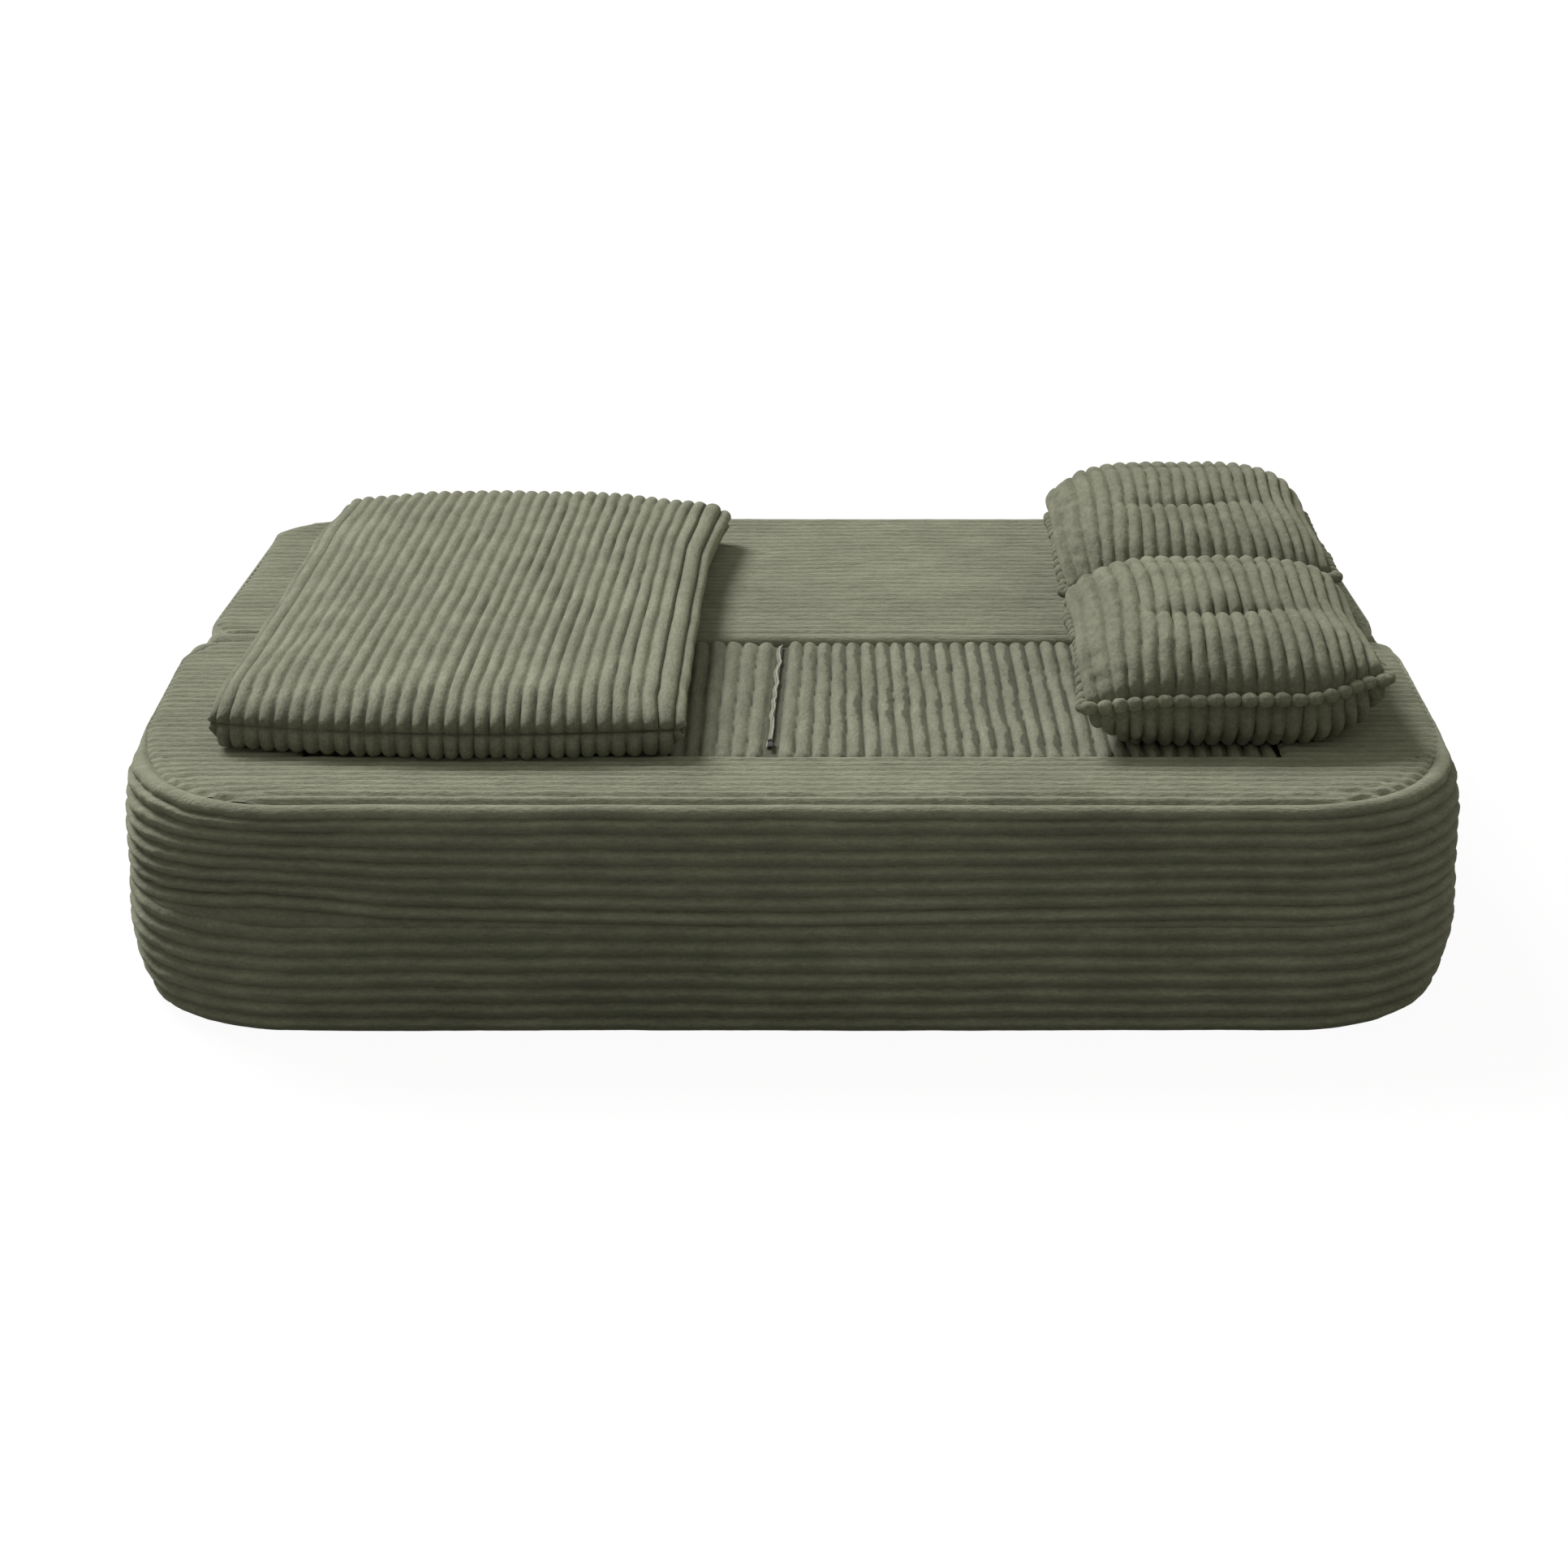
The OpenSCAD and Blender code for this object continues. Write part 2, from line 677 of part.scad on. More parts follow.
function mat_low_point(i, j) =
    let (fill = mat_low_rise_shares[i] * mat_rise_shares[j])
    concat(mat_plan(mat_low_shares[i], mat_row_shares[j]),
        mat_seam_h * (1 - min(1, mat_low_flat_share * fill)));

module place_mat() {
    translate([mat_side - half_w, mat_back, bed_z]) rotate([0, 0, mat_turn]) children();
}

module mat_slab() {
    inset = 4 * cover_t;
    translate([inset - mat_w / 2, inset - mat_l / 2, cover_t / 2])
        cube([mat_w - 2 * inset, mat_l - 2 * inset, mat_t - 2 * cover_t - mat_t * mat_crown_share]);
}

module mat_top_cover() {
    color(olive) place_mat() difference() {
        soft_half([for (i = [0 : 2 * mat_ribs])
            [for (j = [0 : len(mat_row_shares) - 1]) mat_top_point(i, j)]], true);
        mat_slab();
    }
}

module mat_bottom_cover() {
    color(olive) place_mat() difference() {
        soft_half([for (i = [0 : len(mat_low_shares) - 1])
            [for (j = [0 : len(mat_row_shares) - 1]) mat_low_point(i, j)]], false);
        mat_slab();
    }
}

module mat_foam() {
    color(foam) place_mat() mat_slab();
}

// Outline of the mat's seam, drawn in by the length given
function mat_rim(inset) = concat(
    [for (v = [-1 : 0.25 : 0.75]) [mat_w / 2 - inset - mat_draw * (1 - v * v), v * (mat_l / 2 - inset)]],
    [for (u = [1 : -0.25 : -0.75]) [u * (mat_w / 2 - inset), mat_l / 2 - inset - mat_draw * (1 - u * u)]],
    [for (v = [1 : -0.25 : -0.75]) [-mat_w / 2 + inset + mat_draw * (1 - v * v), v * (mat_l / 2 - inset)]],
    [for (u = [-1 : 0.25 : 0.75]) [u * (mat_w / 2 - inset), -mat_l / 2 + inset + mat_draw * (1 - u * u)]]);

module mat_zip_strip() {
    color(olive_dark) place_mat() translate([0, 0, mat_seam_h - tape_t]) linear_extrude(2 * tape_t)
        difference() {
            polygon(mat_rim(mat_groove - strip_w));
            polygon(mat_rim(mat_groove - 4 * rest_gap));
        }
}

// Pillow with a beaded edge and a crown that rises to the rear, chopped across its middle
function puff(t) = pow(max(0, 1 - pow(abs(t), pillow_power)), pillow_round);
function pillow_rim(t) = pillow_draw * (1 - t * t);
function pillow_plan(u, v) = [u * (pillow_w / 2 - pillow_rim(v)), v * (pillow_l / 2 - pillow_rim(u))];
function pillow_ridge(u, v, rib) = rib * soft_rib_h * min(1, 3 * puff(u) * puff(v));
function pillow_dent(u, v) =
    dent_h * exp(-pow(u / dent_w_share, 2)) * exp(-pow((v - dent_place_share) / dent_l_share, 2));
function pillow_wedge(v) = pillow_front_share
    + (1 - pillow_front_share) * min(1, max(0, (v + pillow_full_share) / 2 / pillow_full_share));
function pillow_rise(u, v, rib) = ((pillow_crown - soft_rib_h) * pillow_wedge(v) - pillow_dent(u, v))
    * puff(u) * puff(v) + pillow_ridge(u, v, rib);
function pillow_drop(u, v, rib) =
    min(pillow_seam_h, pillow_seam_h * pillow_flat_share * puff(u) * puff(v) + pillow_ridge(u, v, rib));
function pillow_sheet(over_lid) = [for (i = [0 : 2 * pillow_ribs]) [for (v = pillow_row_shares)
    let (u = i / pillow_ribs - 1)
    concat(pillow_plan(u, v), pillow_seam_h
        + (over_lid ? pillow_rise(u, v, i % 2) : -pillow_drop(u, v, i % 2)))]];
function fill_sheet(over_lid) = [for (i = [0 : pillow_fill_n]) [for (j = [0 : pillow_fill_n])
    let (u = 2 * i / pillow_fill_n - 1, v = 2 * j / pillow_fill_n - 1)
    concat(pillow_fill_share * pillow_plan(u, v), pillow_seam_h - pillow_fill_low
        + pillow_fill_share * (over_lid ? pillow_rise(u, v, 0) : -pillow_drop(u, v, 0)))]];

module place_pillow(y) {
    translate([half_w - pillow_side, y, bed_z]) children();
}

module pillow_cover(y, over_lid) {
    color(olive) place_pillow(y) difference() {
        soft_half(pillow_sheet(over_lid), over_lid);
        pillow_stuffing();
    }
}

module pillow_stuffing() {
    soft_whole(fill_sheet(true), fill_sheet(false));
}

module pillow_filling(y) {
    color(fibre) place_pillow(y) pillow_stuffing();
}

// String of beads that the gathered ribs form along the seam
bead_sides = 4;
bead_out = bead_r + rest_gap;
function seam_point(s) =
    let (side = floor(s), t = 2 * (s - side) - 1, x = pillow_w / 2 + bead_out, y = pillow_l / 2 + bead_out)
    side == 0 ? [x - pillow_rim(t), t * y] :
    side == 1 ? [-t * x, y - pillow_rim(t)] :
    side == 2 ? [pillow_rim(t) - x, -t * y] : [t * x, pillow_rim(t) - y];
beads_per_side = round(pillow_l / rib_pitch);
bead_rings = 8 * beads_per_side;
function bead_ring(k) =
    let (here = seam_point(4 * k / bead_rings), next = seam_point(4 * (((k + 1) % bead_rings) / bead_rings)),
        last = seam_point(4 * (((k + bead_rings - 1) % bead_rings) / bead_rings)),
        way = (next - last) / norm(next - last), out = [way.y, -way.x],
        r = k % 2 == 1 ? bead_r : bead_neck_r)
    [for (a = [0 : bead_sides - 1]) let (angle = 360 * a / bead_sides)
        [here.x + out.x * r * cos(angle), here.y + out.y * r * cos(angle), pillow_seam_h + r * sin(angle)]];
bead_points = [for (k = [0 : bead_rings - 1]) each bead_ring(k)];
bead_faces = [for (k = [0 : bead_rings - 1], a = [0 : bead_sides - 1])
    let (k2 = (k + 1) % bead_rings, a2 = (a + 1) % bead_sides, p = bead_sides * k + a,
        q = bead_sides * k2 + a, r = bead_sides * k2 + a2, s = bead_sides * k + a2)
    each [[p, q, r], [p, r, s]]];

module pillow_beads(y) {
    color(olive) place_pillow(y) polyhedron(bead_points, bead_faces, convexity = 6);
}

module pillow_front_top_cover() {
    pillow_cover(-pillow_front_y, true);
}

module pillow_front_bottom_cover() {
    pillow_cover(-pillow_front_y, false);
}

module pillow_front_filling() {
    pillow_filling(-pillow_front_y);
}

module pillow_front_beads() {
    pillow_beads(-pillow_front_y);
}

module pillow_rear_top_cover() {
    pillow_cover(pillow_rear_y, true);
}

module pillow_rear_bottom_cover() {
    pillow_cover(pillow_rear_y, false);
}

module pillow_rear_filling() {
    pillow_filling(pillow_rear_y);
}

module pillow_rear_beads() {
    pillow_beads(pillow_rear_y);
}

base_bottom_sheet();
base_foam_core();
base_side_band();
base_top_lining();
rear_foam_core();
rear_side_band();
rear_top_panel();
rear_edge_welt();
rear_seam_welt();
rear_hinge_tape();
insert_top_panel();
insert_boxing();
insert_bottom_sheet();
insert_foam();
zip_tape_left();
zip_tape_right();
zip_teeth();
zip_stops();
zip_slider();
zip_pull();
frame_front_foam();
frame_left_arm_foam();
frame_right_arm_foam();
frame_bottom_sheet();
frame_side_band();
frame_inner_wall();
frame_front_panel();
frame_left_arm_panel();
frame_right_arm_panel();
frame_edge_welt();
frame_hem_welt();
frame_hinge_tape();
mat_top_cover();
mat_bottom_cover();
mat_foam();
mat_zip_strip();
pillow_front_top_cover();
pillow_front_bottom_cover();
pillow_front_filling();
pillow_front_beads();
pillow_rear_top_cover();
pillow_rear_bottom_cover();
pillow_rear_filling();
pillow_rear_beads();
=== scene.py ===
"""Floor sofa bed in ribbed plush cloth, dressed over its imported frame."""
import math

import bpy
import numpy as np
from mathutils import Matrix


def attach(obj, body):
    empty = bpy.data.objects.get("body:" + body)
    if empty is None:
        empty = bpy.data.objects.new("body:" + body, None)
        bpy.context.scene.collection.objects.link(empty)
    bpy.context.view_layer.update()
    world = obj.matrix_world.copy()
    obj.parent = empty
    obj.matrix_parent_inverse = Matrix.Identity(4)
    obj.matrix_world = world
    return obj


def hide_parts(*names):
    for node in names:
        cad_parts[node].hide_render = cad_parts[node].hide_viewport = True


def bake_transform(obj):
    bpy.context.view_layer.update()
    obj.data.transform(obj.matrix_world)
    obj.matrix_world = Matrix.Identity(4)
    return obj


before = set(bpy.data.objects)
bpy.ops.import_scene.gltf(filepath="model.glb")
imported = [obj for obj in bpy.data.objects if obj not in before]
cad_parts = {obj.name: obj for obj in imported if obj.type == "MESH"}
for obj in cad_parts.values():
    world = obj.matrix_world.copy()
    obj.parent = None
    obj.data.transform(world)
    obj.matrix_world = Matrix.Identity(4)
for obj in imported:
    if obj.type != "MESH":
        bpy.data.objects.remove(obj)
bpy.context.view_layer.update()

# Camera, at the view of the photograph
CAMERA_PLACE = (-0.01198, -5.36282, 2.07411)
CAMERA_TILT = 69.9311
CAMERA_LENS = 77.442
CAMERA_SENSOR = 36.0

# Sizes in metres, as the solids have them
HALF_W = 1.0
HALF_D = 0.79
BASE_H = 0.175
TOP_Z = 0.370
CORNER_R = 0.26
CREASE_R = 0.044
CREASE_Y = 0.015
CREASE_GAP = 0.002
REAR_STEP = 0.012
RECESS_HALF = 0.74
RECESS_FRONT = -0.57
REST_GAP = 0.0003
UNDER_Z = 0.1757
LINING_Z = 0.1762
REAR_FRONT = CREASE_Y + CREASE_GAP
FRAME_BACK = CREASE_Y - CREASE_GAP

# Loose pieces
MAT_SIZE = (0.745, 1.150)
MAT_PLACE = (-0.490, 0.020)
MAT_TURN = -2.5
MAT_SEAM = 0.040
MAT_TOP = 0.045
PILLOW_SIZE = (0.488, 0.510)
PILLOW_PLACES = {"front": (0.675, -0.288), "rear": (0.685, 0.312)}
PILLOW_SEAM = 0.088
PILLOW_FOLDS = {"front": -0.36, "rear": -0.28}
# Painted shade over each pillow as a whole; the front pillow is painted darker.
PILLOW_SHADES = {"front": 0.945, "rear": 1.0}
PILLOW_CROWN = 0.108

# Lattice of the smooth noise that makes the cloth uneven
LATTICE_SIZE = 32
LATTICE = np.random.default_rng(7).random((LATTICE_SIZE,) * 3)
SEED_STEP = 7.31


def noise(points, size, seed):
    """Smooth noise from -1 to 1 at points, with bumps about size metres wide."""
    place = points / size + SEED_STEP * seed
    cell = np.floor(place).astype(int)
    part = place - cell
    part = part * part * (3 - 2 * part)
    total = np.zeros(points.shape[:-1])
    for corner in np.ndindex(2, 2, 2):
        weight = np.ones(points.shape[:-1])
        index = []
        for axis in range(3):
            side = part[..., axis]
            weight = weight * (side if corner[axis] else 1 - side)
            index.append((cell[..., axis] + corner[axis]) % LATTICE_SIZE)
        total += weight * LATTICE[tuple(index)]
    return 2 * total - 1


def uneven(points, *layers):
    """Layers of noise added up, each with its height, the size of its bumps and its seed."""
    return sum(height * noise(points, size, seed) for height, size, seed in layers)


def split(points):
    """Views of the x, the y and the z of points; what changes them changes the points."""
    return np.moveaxis(points, -1, 0)


def joined(x, y, z):
    """Points from their x, their y and their z, each spread over the others."""
    return np.stack(np.broadcast_arrays(x, y, z), axis=-1)


def smooth(value, low, high):
    """0 below low, 1 above high, and an even bend between."""
    t = np.clip((value - low) / (high - low), 0, 1)
    return t * t * (3 - 2 * t)


# Ribs, where one rib is one unit of phase
def rib(phase, flat):
    """Height of a rib from 0 in its groove to 1 on its crest; the flatter it is, the lower its foot."""
    across = 2 * (phase - np.floor(phase)) - 1
    foot = math.sqrt(1 - flat)
    return (np.sqrt(1 - flat * across ** 2) - foot) / (1 - foot)


def soft_rib(phase):
    """The same for cloth pulled tight over foam, with wide slopes."""
    return (0.5 - 0.5 * np.cos(2 * math.pi * phase)) ** 0.75


def ledge_rib(phase, crest):
    """Rib on a wall: a long face that leans out upwards to its crest, and a short ledge above it."""
    part = phase - np.floor(phase)
    rise = np.sin(0.5 * math.pi * np.clip(part / crest, 0, 1)) ** 0.8
    fall = np.cos(0.5 * math.pi * np.clip((part - crest) / (1 - crest), 0, 1)) ** 0.9
    return np.where(part < crest, rise, fall)


def leaning_rib(phase, crest):
    """Rib of loose cloth that leans over to its right."""
    part = phase - np.floor(phase)
    rise = np.clip(part / crest, 0, 1)
    fall = np.clip((1 - part) / (1 - crest), 0, 1)
    return np.where(part < crest, (1 - (1 - rise) ** 2) ** 0.55, (1 - (1 - fall) ** 2) ** 0.75)


def room_inside(phase, count):
    """0 on the outer lines of a row of ribs, 1 from one rib inwards."""
    return np.clip(np.minimum(phase, count - phase), 0, 1)


def far_side_shade(points, phase, middle, blur, *layers):
    """1 on the far side of each rib, turned from the lamp, where shade is painted into the colour, behind an
    uneven border.
    """
    border = middle + uneven(points, *layers)
    return smooth(phase - np.floor(phase), border - blur, border + blur)


def unit(vectors):
    return vectors / np.maximum(np.linalg.norm(vectors, axis=-1, keepdims=True), 1e-12)


def raised(points, height):
    """A grid of points moved out along its normals, where its columns run up from its rows."""
    out = unit(np.cross(np.gradient(points, axis=0), np.gradient(points, axis=1)))
    return points + out * height[..., None]


def placed(name, data):
    """A new object in the scene that shows the data."""
    item = bpy.data.objects.new(name, data)
    bpy.context.scene.collection.objects.link(item)
    return item


class Cloth:
    """Grids of points gathered into one mesh.

    Each point keeps its height on the rib and a painted shade, which the material reads as painted shade in
    the grooves and as a multiplier of its colour.
    """

    def __init__(self):
        self.points, self.faces, self.ribs, self.naps, self.count = [], [], [], [], 0

    def add(self, points, ribs, nap=1.0, closed=False, turned=False):
        """One more grid; closed joins its last row to its first, and turned flips its faces."""
        rows, columns = points.shape[:2]
        index = self.count + np.arange(rows * columns).reshape(rows, columns)
        if closed:
            index = np.vstack([index, index[:1]])
        corners = [index[:-1, :-1], index[1:, :-1], index[1:, 1:], index[:-1, 1:]]
        if turned:
            corners.reverse()
        self.faces.append(np.stack(corners, axis=-1).reshape(-1, 4))
        self.points.append(points.reshape(-1, 3))
        self.ribs.append(np.broadcast_to(ribs, points.shape[:2]).reshape(-1))
        self.naps.append(np.broadcast_to(nap, points.shape[:2]).reshape(-1))
        self.count += rows * columns
        return self

    def build(self, name, material, slot="ribbed_cloth"):
        mesh = bpy.data.meshes.new(name)
        mesh.from_pydata(np.concatenate(self.points).tolist(), [], np.concatenate(self.faces).tolist())
        for key, values in (("rib", self.ribs), ("nap", self.naps)):
            layer = mesh.attributes.new(key, "FLOAT", "POINT")
            layer.data.foreach_set("value", np.concatenate(values))
        mesh.polygons.foreach_set("use_smooth", [True] * len(mesh.polygons))
        mesh.materials.append(material)
        mesh.update()
        piece = placed(name, mesh)
        return piece


# Materials
THREADS_PER_METRE = 1400


def wired(tree, node, **sockets):
    """A node, old or of a new kind, whose sockets hold the constants or follow the outputs given."""
    if isinstance(node, str):
        node = tree.nodes.new(node)
    for key, value in sockets.items():
        socket = node.inputs[key.replace("_", " ")]
        if isinstance(value, bpy.types.NodeSocket):
            tree.links.new(value, socket)
        else:
            socket.default_value = value
    return node


def shader(name, colour, roughness, **sockets):
    """A Principled material, with its node tree and its shader."""
    material = bpy.data.materials.new(name)
    material.use_nodes = True
    tree = material.node_tree
    node = wired(tree, tree.nodes["Principled BSDF"], Base_Color=(*colour, 1), Roughness=roughness, **sockets)
    return material, tree, node


def noise_node(tree, place, scale, detail):
    return wired(tree, "ShaderNodeTexNoise", Vector=place, Scale=scale, Detail=detail).outputs["Fac"]


def ramp_node(tree, value, stops):
    node = tree.nodes.new("ShaderNodeValToRGB")
    while len(node.color_ramp.elements) < len(stops):
        node.color_ramp.elements.new(0.5)
    for element, (at, grey) in zip(node.color_ramp.elements, stops):
        element.position = at
        element.color = (grey, grey, grey, 1)
    return wired(tree, node, Fac=value).outputs["Color"]


def bump_node(tree, height, strength, distance, **below):
    node = wired(tree, "ShaderNodeBump", Height=height, Strength=strength, Distance=distance, **below)
    return node.outputs["Normal"]


def shaded(tree, colour, shades):
    """The colour times a ramp of grey for each value in shades."""
    tint = (*colour, 1)
    for value, stops in shades:
        node = tree.nodes.new("ShaderNodeMix")
        node.data_type = "RGBA"
        node.blend_type = "MULTIPLY"
        wired(tree, node, Factor=1.0, A=tint, B=ramp_node(tree, value, stops))
        tint = node.outputs["Result"]
    return tint


def stretched(tree, scale=(1, 1, 1)):
    """Rest coordinates of the piece, stretched by scale."""
    place = tree.nodes.new("ShaderNodeTexCoord").outputs["Object"]
    return wired(tree, "ShaderNodeMapping", Vector=place, Scale=scale).outputs["Vector"]


def attribute(tree, name):
    node = tree.nodes.new("ShaderNodeAttribute")
    node.attribute_name = name
    return node.outputs["Fac"]


def plush(name, colour, across, groove, mottle):
    """Plush with painted shade in the grooves between its ribs, a faint painted highlight on their crests,
    painted shade read from the mesh, a mottled pile and short fibres.
    """
    material, tree, node = shader(name, colour, 0.92, Sheen_Weight=0.28, Sheen_Roughness=0.45,
                                  Sheen_Tint=(0.72, 0.71, 0.50, 1), Specular_IOR_Level=0.10)
    even = stretched(tree)
    streaked = stretched(tree, across)
    patches = [(0.34, 1 - mottle), (0.66, 1 + 0.8 * mottle)]
    # The first two ramps paint shade: into the grooves from the rib attribute, with a faint painted highlight
    # on the crests, and the painted shade read from the mesh.
    tint = shaded(tree, colour, [
        (attribute(tree, "rib"), [(0.0, groove), (0.3, 0.88), (0.7, 1.0), (1.0, 1.03)]),
        (attribute(tree, "nap"), [(0.0, 0.0), (1.0, 1.0)]),
        (noise_node(tree, even, 3.2, 2), [(0.36, 0.91), (0.64, 1.08)]),
        (noise_node(tree, streaked, 13, 3), patches),
        (noise_node(tree, streaked, 70, 4), patches),
        (noise_node(tree, even, 430, 2), [(0.3, 0.88), (0.7, 1.12)]),
    ])
    coarse = bump_node(tree, noise_node(tree, streaked, 90, 4), 0.5, 0.004)
    fine = bump_node(tree, noise_node(tree, even, 700, 3), 0.6, 0.0012, Normal=coarse)
    wired(tree, node, Base_Color=tint, Normal=fine)
    return material


def woven(name, colour):
    """Plain lining or tape with a fine weave."""
    material, tree, node = shader(name, colour, 0.85, Sheen_Weight=0.1, Specular_IOR_Level=0.12)
    even = stretched(tree)
    tint = shaded(tree, colour, [(noise_node(tree, even, 40, 3), [(0.3, 0.8), (0.7, 1.15)])])
    weave = wired(tree, "ShaderNodeTexChecker", Vector=even, Scale=THREADS_PER_METRE)
    wired(tree, node, Base_Color=tint, Normal=bump_node(tree, weave.outputs["Fac"], 0.3, 0.0004))
    return material


def dark_metal(name, colour):
    """Dark plated zip metal, worn a little where fingers touch it."""
    material, tree, node = shader(name, colour, 0.38, Metallic=1.0)
    wear = ramp_node(tree, noise_node(tree, stretched(tree), 260, 4), [(0.35, 0.28), (0.7, 0.5)])
    wired(tree, node, Roughness=wear)
    return material


OLIVE = (0.289, 0.298, 0.228)
tight_plush = plush("tight_plush", OLIVE, (1, 3, 3), 0.80, 0.10)
loose_plush = plush("loose_plush", OLIVE, (3, 1, 3), 0.40, 0.13)
pillow_plush = plush("pillow_plush", (0.232, 0.237, 0.179), (2, 1, 2), 0.36, 0.13)
lining = woven("lining", (0.045, 0.046, 0.034))
zip_cloth = woven("zip_cloth", (0.11, 0.112, 0.082))
# Light colour of the zip's lip: a painted highlight along its satin edge.
zip_highlight = woven("zip_highlight", (0.44, 0.45, 0.36))
zip_metal = dark_metal("zip_metal", (0.014, 0.0135, 0.0125))


# Walls that run round a rounded plan
PROFILE_STEP = 0.0024


def arc(centre, radius, start, steps):
    angle = np.radians(np.linspace(start, start + 90, steps + 1))
    out = np.stack([np.cos(angle), np.sin(angle)], axis=-1)
    return np.array(centre) + radius * out, out


def run(start, end, out, steps):
    share = np.linspace(0, 1, steps + 1)[:, None]
    points = np.array(start) * (1 - share) + np.array(end) * share
    return points, np.broadcast_to(np.array(out, float), points.shape)


def outline(half_x, y_front, y_back, r_front, r_back, gap=0.0, step=0.006):
    """Points and outward normals round a plan, counterclockwise from the middle of its back."""
    def count(length, coarse):
        return max(2, int(length / (step * coarse)))

    side = y_back - y_front - r_front - r_back
    front_x, back_x = half_x - r_front, half_x - r_back
    front_y, back_y = y_front + r_front, y_back - r_back
    parts = [
        run((-gap, y_back), (-back_x, y_back), (0, 1), count(back_x - gap, 2.2)),
        arc((-back_x, back_y), r_back, 90, count(1.6 * r_back, 1.4)),
        run((-half_x, back_y), (-half_x, front_y), (-1, 0), count(side, 1.6)),
        arc((-front_x, front_y), r_front, 180, count(1.6 * r_front, 1)),
        run((-front_x, y_front), (front_x, y_front), (0, -1), count(2 * front_x, 1)),
        arc((front_x, front_y), r_front, 270, count(1.6 * r_front, 1)),
        run((half_x, front_y), (half_x, back_y), (1, 0), count(side, 1.6)),
        arc((back_x, back_y), r_back, 0, count(1.6 * r_back, 1.4)),
        run((back_x, y_back), (gap, y_back), (0, 1), count(back_x - gap, 2.2)),
    ]
    path = [np.concatenate([part[k][:-1] for part in parts] + [parts[-1][k][-1:]]) for k in (0, 1)]
    return path if gap else [line[:-1] for line in path]


def inset(plan, by):
    """A plan drawn in all round."""
    half_x, y_front, y_back, r_front, r_back = plan
    return half_x - by, y_front + by, y_back - by, r_front - by, r_back - by


def resampled(profile):
    """A polyline cut into even steps, the distance run at each, and at each point of the polyline."""
    profile = np.array(profile, float)
    run_to = np.concatenate([[0], np.cumsum(np.linalg.norm(np.diff(profile, axis=0), axis=1))])
    at = np.linspace(0, run_to[-1], int(run_to[-1] / PROFILE_STEP) + 1)
    return np.stack([np.interp(at, run_to, profile[:, k]) for k in (0, 1)], axis=-1), at, run_to


def swept(path, profile):
    """The profile carried round the path: out along its normals, and up."""
    points, outward = path
    flat = points[:, None, :] + outward[:, None, :] * profile[None, :, :1]
    return joined(*split(flat), profile[:, 1])


def rib_band(cloth, path, profile, edges, heights, lift=np.copy, closed=True, roll=False, side_rise=0.0):
    """A ribbed wall whose ribs meet at edges, distances along its profile.

    With roll, its lowest rib is a round roll and its top one crests low, as over a seam.
    """
    line, at, _ = resampled(profile)
    points = lift(swept(path, line))
    x, y, z = split(points)
    count = len(edges) - 1
    inside = ((at > edges[0]) & (at < edges[-1]))[None, :]
    corner = smooth(np.abs(x), HALF_W - CORNER_R, HALF_W - 0.06)
    phase = np.interp(at, edges, np.arange(len(edges), dtype=float))[None, :]
    wobble = uneven(points, (0.08, 0.13, 1), (0.045 + 0.05 * corner, 0.020, 2),
                    (0.02 + 0.03 * corner, 0.008, 7))
    phase = phase + wobble * room_inside(phase, count)
    which = np.clip(np.floor(phase).astype(int), 0, count - 1)
    lowest, topmost = (phase < 1) & roll, (phase > count - 1) & roll
    crest = np.where(topmost, 0.36, 0.66 + 0.06 * noise(points, 0.03, 12))
    shape = np.where(lowest, rib(phase, 0.98), ledge_rib(phase, crest))
    shape = np.where(inside, shape, 0)
    side = beside(y) * smooth(np.abs(x), 0.70, 0.92)
    fuller = np.where(lowest, 1 - 0.35 * corner, 1 + 0.30 * corner)
    fuller = np.where(topmost, fuller * (1 - 0.85 * side), fuller)
    height = np.array(heights)[which] * shape * (1 + 0.16 * noise(points, 0.05, 3)) * fuller
    height = height + uneven(points, (0.0012, 0.24, 8), (0.0007 * shape, 0.012, 9))
    z += side_rise * side * smooth(z, 0.346, 0.358)
    # Off the ribs the cloth takes a middling painted groove shade.
    cloth.add(raised(points, height), np.where(inside, shape, 0.6), closed=closed)


# Side of the upper layer, and how the cover of the bed strays from its plan
HEM_TOP = 0.198
SIDE_TOP = 0.345
SIDE_IN = 0.0095
SIDE_BULGE = 0.003
SIDE_POINTS = 12
SIDE_RIBS = 6
SIDE_RISE = 0.0030
ROLL_R = 0.0185
PANEL_IN = 0.0315
SIDE_SEAM_IN = 0.002
FRONT_ROLL_DROP = 0.0028
FRONT_SLOPE = 0.0034
LEFT_TAPER = 0.060
RIGHT_TAPER = 0.032

# Height that the hem of the front frame rises over the seam, along its front
HEM_PLACES = [-1.0, -0.95, -0.86, -0.78, -0.70, -0.60, -0.45, -0.20, 0.0, 0.39, 0.62, 0.80, 1.0]
HEM_LIFTS = [0.0, 0.006, 0.020, 0.030, 0.024, 0.0125, 0.0085, 0.003, 0.0, 0.0075, 0.012, 0.009, 0.0]
HEM_LIFT_END = 0.346

# How far both sides of the bed swell, by height
SWELL_HEIGHTS = [0.0, 0.05, 0.12, 0.30, 0.335, 0.365]
SWELLS = [0.0, 0.012, 0.017, 0.011, 0.006, 0.0]

UPPER_FOOT = [(-0.034, UNDER_Z), (-0.005, UNDER_Z), (-0.0030, 0.1762), (-0.0035, 0.1772), (-0.0080, 0.1780)]


